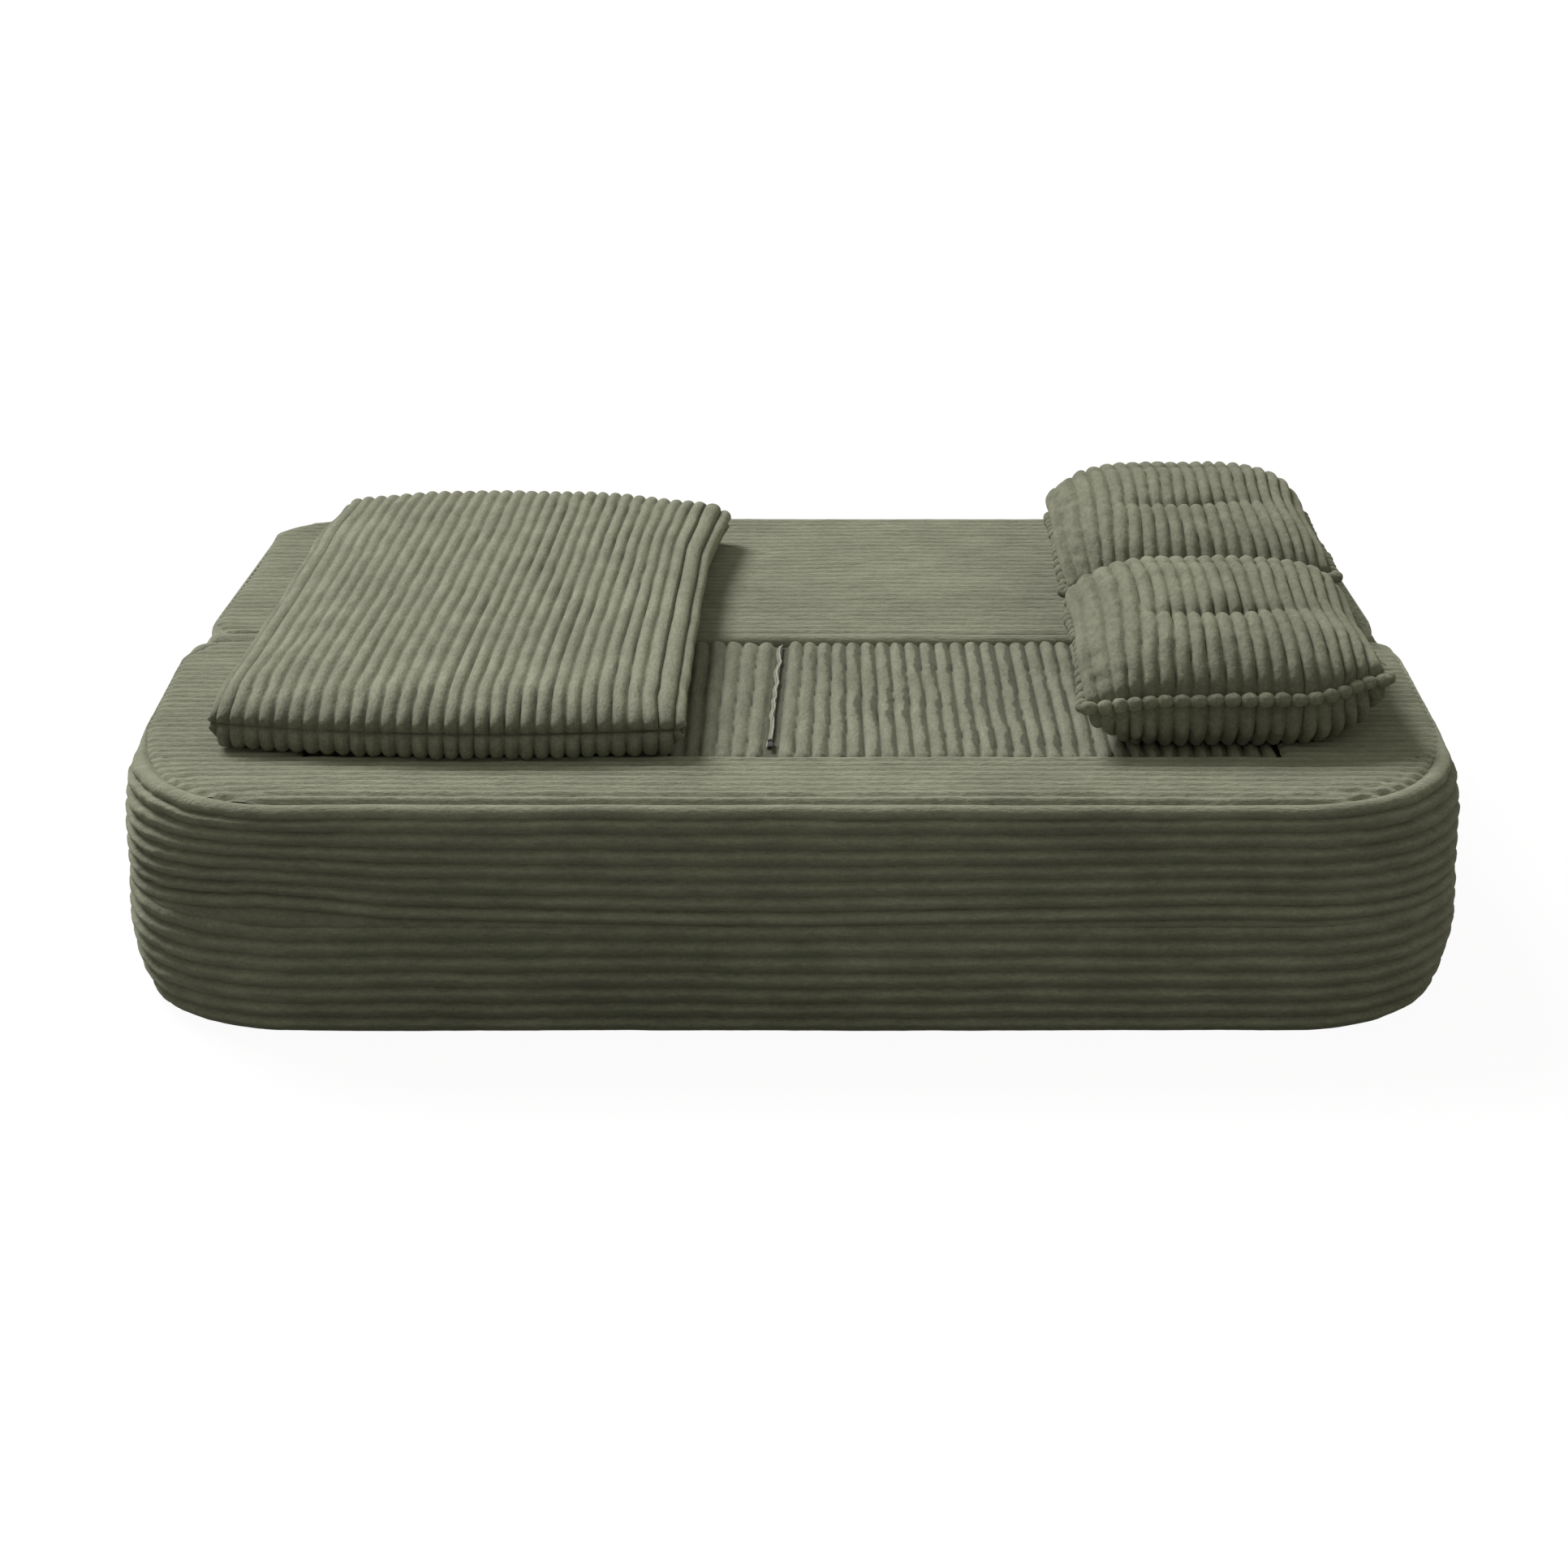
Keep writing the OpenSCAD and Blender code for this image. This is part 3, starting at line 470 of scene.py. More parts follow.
def layer_profile(tucked):
    """Cross-section of the upper layer's side, before its ribs, from under its hem to the seam of its top."""
    side = [(-SIDE_IN - SIDE_BULGE * (2 * (z - HEM_TOP) / 0.150 - 1) ** 2, z)
            for z in np.linspace(HEM_TOP, SIDE_TOP, SIDE_POINTS)]
    middle = 0.3430 if tucked else 0.3470
    roll = [(-0.031 + ROLL_R * math.cos(turn), middle + ROLL_R * math.sin(turn))
            for turn in np.radians(np.linspace(8, 90, 10))]
    tuck = [(-0.0345, 0.3600), (-0.0360, 0.3560)] if tucked else [(-0.0330, 0.3655), (-0.0345, 0.3652)]
    return UPPER_FOOT + side + roll + tuck


UPPER = layer_profile(tucked=True)
UPPER_STEPS = resampled(UPPER)[2]
SIDE_START = len(UPPER_FOOT)
SIDE_EDGES = np.linspace(UPPER_STEPS[SIDE_START], UPPER_STEPS[SIDE_START + SIDE_POINTS - 1], SIDE_RIBS + 1)
UPPER_RIBS = [UPPER_STEPS[SIDE_START - 1], *SIDE_EDGES, UPPER_STEPS[-3]]
UPPER_HEIGHTS = [0.0150] + [0.0098] * SIDE_RIBS + [0.0088]


def tapered(points):
    """The bed narrows a little towards its back, more on its left."""
    points = points.copy()
    x, y, _ = split(points)
    lean = np.where(x > 0, RIGHT_TAPER, LEFT_TAPER) * np.clip(y, 0, 0.60)
    x -= np.sign(x) * lean * smooth(np.abs(x), 0.3, 0.95)
    return points


def beside(y):
    """1 along both sides of the bed, 0 at its front and in the crease."""
    return smooth(y, -0.62, -0.40) * smooth(np.abs(y - CREASE_Y), 0.030, 0.100)


def slid(points):
    """On the sides of the bed the seam of its top sits closer to the edge than it does at the front."""
    points = points.copy()
    x, y, z = split(points)
    far = np.abs(x)
    step = REAR_STEP * (y > CREASE_Y)
    seam_from = [0, RECESS_HALF, HALF_W - PANEL_IN, HALF_W, HALF_W + 0.1]
    seam_to = [0, RECESS_HALF, HALF_W - SIDE_SEAM_IN, HALF_W, HALF_W + 0.1]
    moved = np.interp(far + step, seam_from, seam_to) - step
    x += np.sign(x) * (beside(y) * smooth(z, 0.345, 0.356)) * (moved - far)
    return tapered(points)


def swollen(points):
    """Both sides of the bed swell a little where the foam fills its cover."""
    points = slid(points)
    x, y, z = split(points)
    side = smooth(np.abs(x), HALF_W - CORNER_R, HALF_W - 0.02) * (1 - smooth(y, 0.2, 0.5))
    x += np.sign(x) * side * np.interp(z, SWELL_HEIGHTS, SWELLS)
    return points


def lifted_hem(points):
    """The hem of the front frame rides up where the foam pushes it, over a smooth skirt."""
    x, y, _ = split(points)
    front = smooth(-y, 0.50, 0.70)
    lift = np.interp(x, HEM_PLACES, HEM_LIFTS) * front
    points = swollen(points)
    z = split(points)[2]
    share = np.clip((HEM_LIFT_END - z) / (HEM_LIFT_END - HEM_TOP), 0, 1)
    z += lift * (share * smooth(z, 0.1760, 0.1772))
    z -= FRONT_ROLL_DROP * front * smooth(z, 0.335, 0.350)
    return points


# Top panels with ribs from side to side
PANEL_RIB = 0.0036
PANEL_SINK = 0.0060
STITCH_IN = 0.024


def panel_half(y, half_x, y_front, y_back, r_front, r_back):
    """Half of the width of a rounded plan at y."""
    front = np.clip(r_front - (y - y_front), 0, r_front)
    back = np.clip(r_back - (y_back - y), 0, r_back)
    front_in = r_front - np.sqrt(r_front ** 2 - front ** 2)
    return half_x - front_in - (r_back - np.sqrt(r_back ** 2 - back ** 2))


def sides(plan):
    """Left and right side of a plan, as functions of y."""
    return lambda y: -panel_half(y, *plan), lambda y: panel_half(y, *plan)


def top_panel(cloth, x_low, x_high, y_low, y_high, ribs, edge, step, stitch=0.0, lip=0.06):
    """A grid between x_low(y) and x_high(y); edge(x, y) is the distance to the nearest free edge.

    The lip is the share of the dip that is left where the edge meets another piece, and stitch is the
    strength of the row of stitches along the front.
    """
    y = np.linspace(y_low, y_high, ribs * 8 + 1)
    columns = int((np.max(x_high(y) - x_low(y))) / step) + 1
    share = np.linspace(0, 1, columns)[:, None]
    flat = joined(x_low(y) * (1 - share) + x_high(y) * share, y, TOP_Z - PANEL_RIB - 0.0002)
    x, y, z = split(flat)
    phase = (y - y_low) / (y_high - y_low) * ribs
    phase = phase + uneven(flat, (0.10, 0.16, 4), (0.05, 0.03, 5))
    shape = soft_rib(phase)
    near = edge(x, y)
    front = smooth(-y, 0.35, 0.60)
    around = smooth(y, -0.62, -0.40) * smooth(np.abs(x), 0.84, 0.92)
    around = np.maximum(around, smooth(y, 0.62, 0.70))
    dip = (1 - smooth(near, 0.0, 0.009)) * (lip + (1 - lip) * np.maximum(front, 0.75 * around))
    pucker = 0.0007 * noise(flat, 0.008, 10) * (1 - smooth(near, 0.020, 0.050)) * (0.2 + 0.8 * front)
    stitched = np.exp(-((near - STITCH_IN) / 0.0032) ** 2) * front * stitch
    lie = 0.0012 * noise(flat, 0.22, 7)
    z += PANEL_RIB * shape * (1 + 0.2 * noise(flat, 0.06, 6)) - PANEL_SINK * dip + lie
    z += pucker + 0.0005 * noise(flat, 0.02, 11)
    z -= FRONT_SLOPE * (1 - smooth(near, 0.0, 0.045)) * smooth(-y, 0.575, 0.66)
    z -= 0.0012 * stitched * (1 + 0.6 * noise(flat, 0.009, 14))
    # Painted shade in the stitched groove and along the seam at the edge of the panel.
    line = 0.40 * np.exp(-(near / 0.0030) ** 2) * front * stitch
    cloth.add(slid(flat), (0.25 + 0.75 * shape) * (1 - 0.25 * stitched) * (1 - line))


def outline_edge(half_x, y_front, y_back, r_front, r_back):
    """Distance from points inside a rounded plan to its outline."""
    def distance(x, y):
        side = half_x - np.abs(x)
        front, back = y - y_front, y_back - y
        near = np.minimum(side, np.minimum(front, back))
        for r, reach in ((r_front, front), (r_back, back)):
            inside = (side < r) & (reach < r)
            near = np.where(inside, r - np.hypot(r - side, r - reach), near)
        return near
    return distance


# Frame of the bed: U with two arms
LINING_IN = 0.012
FRONT_RIBS = 9
ARM_RIBS = 24
frame_plan = (HALF_W, -HALF_D, FRAME_BACK, CORNER_R, CREASE_R)
frame_inner = inset(frame_plan, PANEL_IN)
frame_edge = outline_edge(*frame_inner)


def frame_free(x, y):
    """Distance from points on the frame to its outline or to the edge of the recess."""
    aside = np.abs(x) - RECESS_HALF
    before = RECESS_FRONT - y
    recess = np.where((aside > 0) & (before > 0), np.hypot(aside, before), np.maximum(aside, before))
    return np.minimum(frame_edge(x, y), recess)


def recess_at(y):
    return np.full_like(y, RECESS_HALF)


frame_cloth = Cloth()
rib_band(frame_cloth, outline(*frame_plan, gap=RECESS_HALF), UPPER, UPPER_RIBS, UPPER_HEIGHTS, lifted_hem,
         closed=False, roll=True, side_rise=SIDE_RISE)
left, right = sides(frame_inner)
top_panel(frame_cloth, left, right, -HALF_D + PANEL_IN, RECESS_FRONT, FRONT_RIBS, frame_edge, 0.006,
          stitch=1.0)
arm = (RECESS_FRONT, FRAME_BACK - PANEL_IN, ARM_RIBS, frame_free, 0.008)
top_panel(frame_cloth, left, lambda y: -recess_at(y), *arm)
top_panel(frame_cloth, recess_at, right, *arm)
frame_cover = frame_cloth.build("frame_cover", tight_plush)
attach(frame_cover, "fold_frame")
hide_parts("frame_side_band", "frame_front_panel", "frame_left_arm_panel",
            "frame_right_arm_panel", "frame_edge_welt", "frame_hem_welt", "frame_front_foam",
            "frame_left_arm_foam", "frame_right_arm_foam")


def make_recess_wall():
    """Lining on the inside of the U, with its two corners cut."""
    left = [(-RECESS_HALF, FRAME_BACK - 0.002), (-RECESS_HALF, RECESS_FRONT + 0.010),
            (-RECESS_HALF + 0.003, RECESS_FRONT + 0.003), (-RECESS_HALF + 0.010, RECESS_FRONT)]
    line = np.array(left + [(-x, y) for x, y in reversed(left)])
    wall = joined(line[:, :1], line[:, 1:], [0.1756, 0.26, 0.345, 0.3565])
    return Cloth().add(wall, 0.8, turned=True).build("recess_wall", lining, "lining_cloth")


inner_wall = make_recess_wall()
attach(inner_wall, "fold_frame")
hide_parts("frame_inner_wall")


def flat_part(y_low, y_high, x_low, x_high):
    """Flat lining at the height of the frame's underside, between two lines across the bed."""
    y = np.linspace(y_low, y_high, 24)
    share = np.linspace(0, 1, 12)[:, None]
    return joined(x_low(y) * (1 - share) + x_high(y) * share, y, LINING_Z)


under_cloth = Cloth()
under_sides = sides(inset(frame_plan, LINING_IN))
under_cloth.add(flat_part(-HALF_D + LINING_IN, RECESS_FRONT, *under_sides), 0.8, turned=True)
for side, border in zip((-1, 1), under_sides):
    arm_lining = flat_part(RECESS_FRONT, FRAME_BACK - LINING_IN, lambda y: side * recess_at(y), border)
    under_cloth.add(arm_lining, 0.8, turned=side > 0)
frame_underside = under_cloth.build("frame_underside", lining, "lining_cloth")
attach(frame_underside, "fold_frame")
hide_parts("frame_bottom_sheet")

# Rear section
REAR_CORNER_R = 0.17
REAR_RIBS = 30
rear_plan = (HALF_W - REAR_STEP, REAR_FRONT, HALF_D, CREASE_R, REAR_CORNER_R)
rear_inner = inset(rear_plan, PANEL_IN)
rear_cloth = Cloth()
rib_band(rear_cloth, outline(*rear_plan, step=0.009), layer_profile(tucked=False), UPPER_RIBS,
         UPPER_HEIGHTS[:-1] + [0.0030], swollen, roll=True)
top_panel(rear_cloth, *sides(rear_inner), REAR_FRONT + PANEL_IN, HALF_D - PANEL_IN, REAR_RIBS,
          outline_edge(*rear_inner), 0.012, lip=0.15)
rear_cover = rear_cloth.build("rear_cover", tight_plush)
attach(rear_cover, "base")
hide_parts("rear_foam_core", "rear_side_band", "rear_top_panel", "rear_edge_welt",
            "rear_seam_welt")


def make_hinge():
    """Cloth hinge in the crease, on both arms: a fold between two flaps."""
    flap = [(0.0150, 0.3640), (0.0095, 0.3655), (0.0045, 0.3590)]
    across = np.array([(-y, z) for y, z in flap] + [(0.0, 0.3535)] + flap[::-1])
    cloth = Cloth()
    for side in (-1, 1):
        x = side * np.linspace(RECESS_HALF + 0.006, HALF_W - CREASE_R, 40)[:, None]
        points = joined(x, CREASE_Y + across[:, 0], across[:, 1])
        points[..., 2] += 0.0008 * noise(points, 0.02, 70)
        cloth.add(points, 0.7, turned=side < 0)
    hinge = cloth.build("crease_hinge", tight_plush)
    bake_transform(hinge)
    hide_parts("rear_hinge_tape", "frame_hinge_tape")


make_hinge()

# Lower layer
LOWER_RIBS = 7
LOWER_FOOT = [(-0.060, 0.0005), (-0.036, 0.0005), (-0.0295, 0.003)]
LOWER_SIDE = [(-0.0105 - 0.018 * (1 - z / BASE_H) ** 3, z) for z in np.linspace(0.006, 0.170, 14)]
LOWER = LOWER_FOOT + LOWER_SIDE + [(-0.0105, 0.1735), (-0.016, 0.1748), (-0.030, 0.1750)]
lower_steps = resampled(LOWER)[2]
base_cloth = Cloth()
rib_band(base_cloth, outline(HALF_W, -HALF_D, HALF_D, CORNER_R, REAR_CORNER_R), LOWER,
         np.linspace(lower_steps[2], lower_steps[-2], LOWER_RIBS + 1), [0.0092] * LOWER_RIBS, swollen)
base_cover = base_cloth.build("base_cover", tight_plush)
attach(base_cover, "base")
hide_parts("base_side_band", "base_foam_core")


def plate(name, by, z, up):
    """Flat lining inside the plan of the bed, drawn in all round."""
    points, _ = outline(*inset((HALF_W, -HALF_D, HALF_D, CORNER_R, CORNER_R), by), step=0.03)
    flat = joined(*split(points), z)
    middle = np.broadcast_to(flat.mean(axis=0), flat.shape)
    shares = np.linspace(0, 1, 9)[None, :, None]
    grid = flat[:, None, :] * (1 - shares) + middle[:, None, :] * shares
    return Cloth().add(tapered(grid), 0.8, closed=True, turned=not up).build(name, lining, "lining_cloth")


for name, by, z, up, node in (("base_underside", 0.04, 0.0006, False, "base_bottom_sheet"),
                              ("base_deck", 0.022, 0.1748, True, "base_top_lining")):
    piece = plate(name, by, z, up)
    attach(piece, "base")
    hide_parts(node)

# Insert cushion in the recess, with its zip
INSERT_TOP = 0.366
INSERT_X = RECESS_HALF - 0.002
INSERT_FRONT = RECESS_FRONT + 0.002
INSERT_MID = (INSERT_FRONT + FRAME_BACK) / 2
INSERT_RIBS = 59
INSERT_ROWS = 84
INSERT_GROOVE = 0.0075
INSERT_END = 0.016
INSERT_DROP = 0.022
ZIP_COLUMN = 28.5
ZIP_X = -0.025
ZIP_LEAN = 0.010
ZIP_FRONT = INSERT_FRONT + 0.058
ZIP_BACK = FRAME_BACK - 0.018
ZIP_Z = 0.3606


def make_insert():
    x = np.linspace(-INSERT_X, INSERT_X, INSERT_RIBS * 10 + 1)[:, None]
    turn = np.radians(np.linspace(0, 90, 7))[:-1]
    ends = INSERT_END * (1 - np.cos(turn))
    drop = INSERT_DROP * (1 - np.sin(turn))
    middle = np.linspace(INSERT_FRONT + INSERT_END, FRAME_BACK - INSERT_END, INSERT_ROWS)
    y = np.concatenate([INSERT_FRONT + ends, middle, (FRAME_BACK - ends)[::-1]])
    fall = np.concatenate([drop, np.zeros(INSERT_ROWS), drop[::-1]])
    points = joined(x, y, INSERT_TOP - INSERT_GROOVE - fall)
    x, y, z = split(points)
    side = INSERT_X - np.abs(x)
    z -= 0.012 * (1 - smooth(side, 0, 0.02)) + 0.0015 * noise(points, 0.3, 11) + 0.0015
    phase = (x + INSERT_X) / (2 * INSERT_X) * INSERT_RIBS
    lean = 0.35 * np.clip((y - INSERT_MID) / 0.29, -1, 1) * np.exp(-((phase - ZIP_COLUMN) / 5) ** 2)
    lean = lean + uneven(points, (0.07, 0.10, 12), (0.035, 0.028, 13))
    phase = phase - room_inside(phase, INSERT_RIBS) * lean
    shape = leaning_rib(phase, 0.40 + uneven(points, (0.16, 0.045, 14), (0.06, 0.012, 15)))
    # No rib along the zip, so the groove and its painted groove shade run along it.
    shape = shape * (1 - np.exp(-((phase - ZIP_COLUMN) / 0.55) ** 6))
    height = 0.0095 * shape * (1 + 0.2 * noise(points, 0.06, 16))
    # Painted shade: the whole insert a little darker, and the far side of each rib darker still, most of all
    # right of the zip.
    dark = far_side_shade(points, phase, 0.62, 0.03, (0.20, 0.06, 17), (0.10, 0.016, 18), (0.04, 0.005, 19))
    nap = 0.80 - (0.13 + 0.34 * smooth(x, -0.02, 0.10)) * dark
    cloth = Cloth().add(raised(points, height), shape, nap)
    plan = outline(INSERT_X, INSERT_FRONT, FRAME_BACK, 0.028, 0.028, step=0.008)
    wall = [(-0.040, UNDER_Z), (-0.012, UNDER_Z), (-0.0085, 0.179), (-0.0085, 0.338), (-0.012, 0.3455)]
    steps = resampled(wall)[2]
    rib_band(cloth, plan, wall, np.linspace(steps[1], steps[-1], 8), [0.006] * 7)
    return cloth.build("insert_cover", loose_plush)


def zip_line(y):
    return ZIP_X + ZIP_LEAN * (y - INSERT_MID) / ((FRAME_BACK - INSERT_FRONT) / 2)


def make_zip():
    """Satin tapes that ripple along the closed teeth, the lip light with a painted highlight; the metal keeps
    its solids.
    """
    y = np.linspace(ZIP_FRONT, ZIP_BACK, 240)
    wave = uneven(joined(zip_line(y), y, 0), (0.0032, 0.050, 61), (0.0022, 0.018, 62))
    lip = [(-0.0009, 0.0014), (-0.001, 0.0022), (0, 0.0028), (0.001, 0.0025), (0.0014, 0.0016),
           (0.0012, 0.0002)]
    flap = [(-0.001, 0.0012), (-0.002, 0.0016), (-0.0034, 0.001), (-0.0052, 0.0002), (-0.0054, -0.0008)]
    for name, profile, material, turned in (("zip_tape_right", lip, zip_highlight, False),
                                            ("zip_tape_left", flap, loose_plush, True)):
        points = np.stack([joined(zip_line(y) + out + wave, y, ZIP_Z + up + 0.4 * np.abs(wave))
                           for out, up in profile], axis=1)
        tape = Cloth().add(points, 1.0, turned=turned).build(name + "_cloth", material, "tape")
        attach(tape, "base")
        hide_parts(name)
    for node in ("zip_teeth", "zip_stops", "zip_slider", "zip_pull"):
        solid = bpy.data.objects[node]
        solid.data.materials.clear()
        solid.data.materials.append(zip_metal)


make_zip()
insert_cover = make_insert()
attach(insert_cover, "base")
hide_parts("insert_top_panel", "insert_boxing", "insert_foam", "insert_bottom_sheet")

# Cushions that are two sheets sewn round their rims
FILL_FRAMES = 18


def evened(steps, passes):
    """The way each point has moved, spread over its neighbours inside the rim."""
    for _ in range(passes):
        around = steps[:-2, 1:-1] + steps[2:, 1:-1] + steps[1:-1, :-2] + steps[1:-1, 2:]
        middle = steps[1:-1, 1:-1] / 2 + around / 8
        steps = steps.copy()
        steps[1:-1, 1:-1] = middle
    return steps


def inflate(name, top, under, pressure, cap, passes=0):
    """Both sheets after they have filled out as cloth, with no point moved further than cap."""
    rows, columns = top.shape[:2]
    index = np.arange(rows * columns).reshape(rows, columns)
    below = index.copy()
    inner = np.arange((rows - 2) * (columns - 2)).reshape(rows - 2, columns - 2)
    below[1:-1, 1:-1] = rows * columns + inner
    points = np.concatenate([top.reshape(-1, 3), under[1:-1, 1:-1].reshape(-1, 3)])
    faces = [np.stack([index[:-1, :-1], index[1:, :-1], index[1:, 1:], index[:-1, 1:]], -1).reshape(-1, 4),
             np.stack([below[:-1, 1:], below[1:, 1:], below[1:, :-1], below[:-1, :-1]], -1).reshape(-1, 4)]
    mesh = bpy.data.meshes.new(name)
    mesh.from_pydata(points.tolist(), [], np.concatenate(faces).tolist())
    pad = placed(name, mesh)
    scene = bpy.context.scene
    rim = np.concatenate([index[0], index[-1], index[:, 0], index[:, -1]])
    pad.vertex_groups.new(name="rim").add(rim.tolist(), 1.0, "REPLACE")
    cloth = pad.modifiers.new("cloth", "CLOTH")
    settings = cloth.settings
    settings.vertex_group_mass = "rim"
    settings.use_pressure = True
    settings.uniform_pressure_force = pressure
    settings.effector_weights.gravity = 0
    settings.tension_stiffness = 30
    settings.compression_stiffness = 10
    settings.shear_stiffness = 10
    settings.bending_stiffness = 2
    cloth.point_cache.frame_start = 1
    cloth.point_cache.frame_end = FILL_FRAMES
    for number in range(1, FILL_FRAMES + 1):
        scene.frame_set(number)
    done = pad.evaluated_get(bpy.context.evaluated_depsgraph_get()).data
    moved = np.empty(len(points) * 3)
    done.vertices.foreach_get("co", moved)
    step = moved.reshape(-1, 3) - points
    length = np.linalg.norm(step, axis=1, keepdims=True)
    moved = points + step * np.minimum(1, cap / np.maximum(length, 1e-9))
    bpy.data.objects.remove(pad)
    bpy.data.meshes.remove(mesh)
    scene.frame_set(1)
    return top + evened(moved[index] - top, passes), under + evened(moved[below] - under, passes)


def refine(grid, rows, columns):
    """The grid read at fractional rows and columns, on smooth curves through its points."""
    for axis, place in ((0, rows), (1, columns)):
        last = grid.shape[axis] - 1
        low = np.clip(np.floor(place).astype(int), 0, last - 1)
        t = (place - low).reshape((-1, 1, 1) if axis == 0 else (1, -1, 1))
        first, second = np.take(grid, low, axis=axis), np.take(grid, low + 1, axis=axis)
        before = np.take(grid, np.maximum(low - 1, 0), axis=axis)
        after = np.take(grid, np.minimum(low + 2, last), axis=axis)
        bend = 2 * before - 5 * first + 4 * second - after
        twist = 3 * first - 3 * second + after - before
        grid = 0.5 * (2 * first + (second - before) * t + bend * t ** 2 + twist * t ** 3)
    return grid


def spread(count, tight):
    """Shares from -1 to 1, closer together towards the ends."""
    t = np.linspace(-1, 1, count)
    return (1 - tight) * t + tight * np.sin(t * math.pi / 2)


def puff(t, power, round_off):
    """Fullness across a cushion, from 0 at its seams to 1 in the middle."""
    return np.maximum(0, 1 - np.abs(t) ** power) ** round_off


# Pillows with a beaded seam
PILLOW_RIBS = 20
PILLOW_LOW = 0.0110
PILLOW_SPLIT = (41, 37)
PILLOW_SEEDS = {"front": 20, "rear": 30}
BEADS_PER_SIDE = 20
BEAD_POINTS = 14
BEAD_OUT = 0.009


def pillow_base(u, v, fold):
    """Both sheets of a pillow before its ribs, round its own middle with the bed at zero."""
    half_x, half_y = PILLOW_SIZE[0] / 2, PILLOW_SIZE[1] / 2
    x_rim = u * (half_x - 0.030 * (1 - v ** 2))
    y = v * (half_y - np.where(v < 0, 0.002, 0.016) * (1 - u ** 2))
    side, end = puff(u, 3.4, 0.44), puff(v, 3.0, 0.5)
    bulge = np.where(u < 0, -0.024, -0.004) * np.sin(math.pi * np.minimum(side, 1)) * end
    lobes = 0.80 + 0.22 * smooth(v, fold - 0.10, 0.50)
    top = PILLOW_SEAM + (PILLOW_CROWN - 0.009) * side * end * lobes
    low = np.where(u < 0, puff(u, 4, 0.5), puff(u, 3.2, 0.5)) * puff(v, 8, 0.5)
    under = PILLOW_SEAM - np.minimum(PILLOW_SEAM - PILLOW_LOW, 1.15 * PILLOW_SEAM * low)
    return joined(x_rim + bulge, y, top), joined(x_rim, y, under)


def chop(u, v, fold):
    """Depth of the two creases pressed across the middle of a pillow."""
    front_line = v - fold - 0.05 * u - 0.10 * u ** 2
    rear_line = v - 0.42 + 0.10 * u ** 2
    front = 0.008 * np.exp(-(front_line / 0.12) ** 2) + 0.010 * np.exp(-(front_line / 0.040) ** 2)
    rear = 0.008 * np.exp(-((u + 0.05) / 0.55) ** 2) * np.exp(-(rear_line / 0.06) ** 2)
    return np.exp(-((u + 0.02) / 0.46) ** 2) * front + rear


def shift_corners(points, moves):
    """Corners of a seam pulled away from the square plan, with the cloth round them."""
    half = np.array(PILLOW_SIZE) / 2
    u, v = split(np.clip(points[..., :2] / half, -1, 1))
    points = points.copy()
    for (side_u, side_v), move in moves.items():
        away = np.hypot(1 - side_u * u, 1 - side_v * v)
        points += np.exp(-(away / 0.34) ** 2)[..., None] * np.array(move)
    points += np.exp(-((1 + v) / 0.45) ** 2)[..., None] * np.array((0, -0.008, -0.006))
    return points


def pillow_sheet(which, points, u, v, moves, turned):
    """Points of one sheet of a pillow with its ribs, and how its material sees them."""
    seed = PILLOW_SEEDS[which]
    if turned:
        points[..., 2] = np.maximum(points[..., 2], PILLOW_LOW)
    else:
        points[..., 2] -= chop(u, v, PILLOW_FOLDS[which])
    points = shift_corners(points, moves)
    phase = (u + 1) / 2 * PILLOW_RIBS
    wobble = uneven(points, (0.12, 0.11, seed), (0.05, 0.03, seed + 1))
    phase = phase + room_inside(phase, PILLOW_RIBS) * wobble
    shape = rib(phase, 0.97)
    seam = np.minimum((1 - np.abs(v)) * PILLOW_SIZE[1] / 2, (1 - np.abs(u)) * PILLOW_SIZE[0] / 2)
    height = 0.0098 * shape * smooth(seam, -0.002, 0.010) * (1 + 0.2 * noise(points, 0.05, seed + 2))
    # The left flank, lit from the left, loses most of its painted groove shade and much of its ribs.
    flank = smooth(-u, 0.66, 0.88)
    shape = shape + (1 - shape) * 0.85 * flank
    height = height * (1 - 0.6 * flank)
    height = height + (0.0010 + 0.0026 * flank) * noise(points, 0.018, seed + 3) * smooth(seam, 0, 0.03)
    # Painted shade on the far side of each rib, times the painted shade of the whole pillow.
    dark = far_side_shade(points, phase, 0.66, 0.08, (0.18, 0.05, seed + 4), (0.08, 0.012, seed + 5))
    nap = PILLOW_SHADES[which] * (1 - 0.16 * dark)
    if turned:
        height = -height * (1.05 + 0.75 * smooth(-v, 0.60, 0.90) * smooth(points[..., 2], 0.012, 0.040))
    return raised(points, height), shape, nap


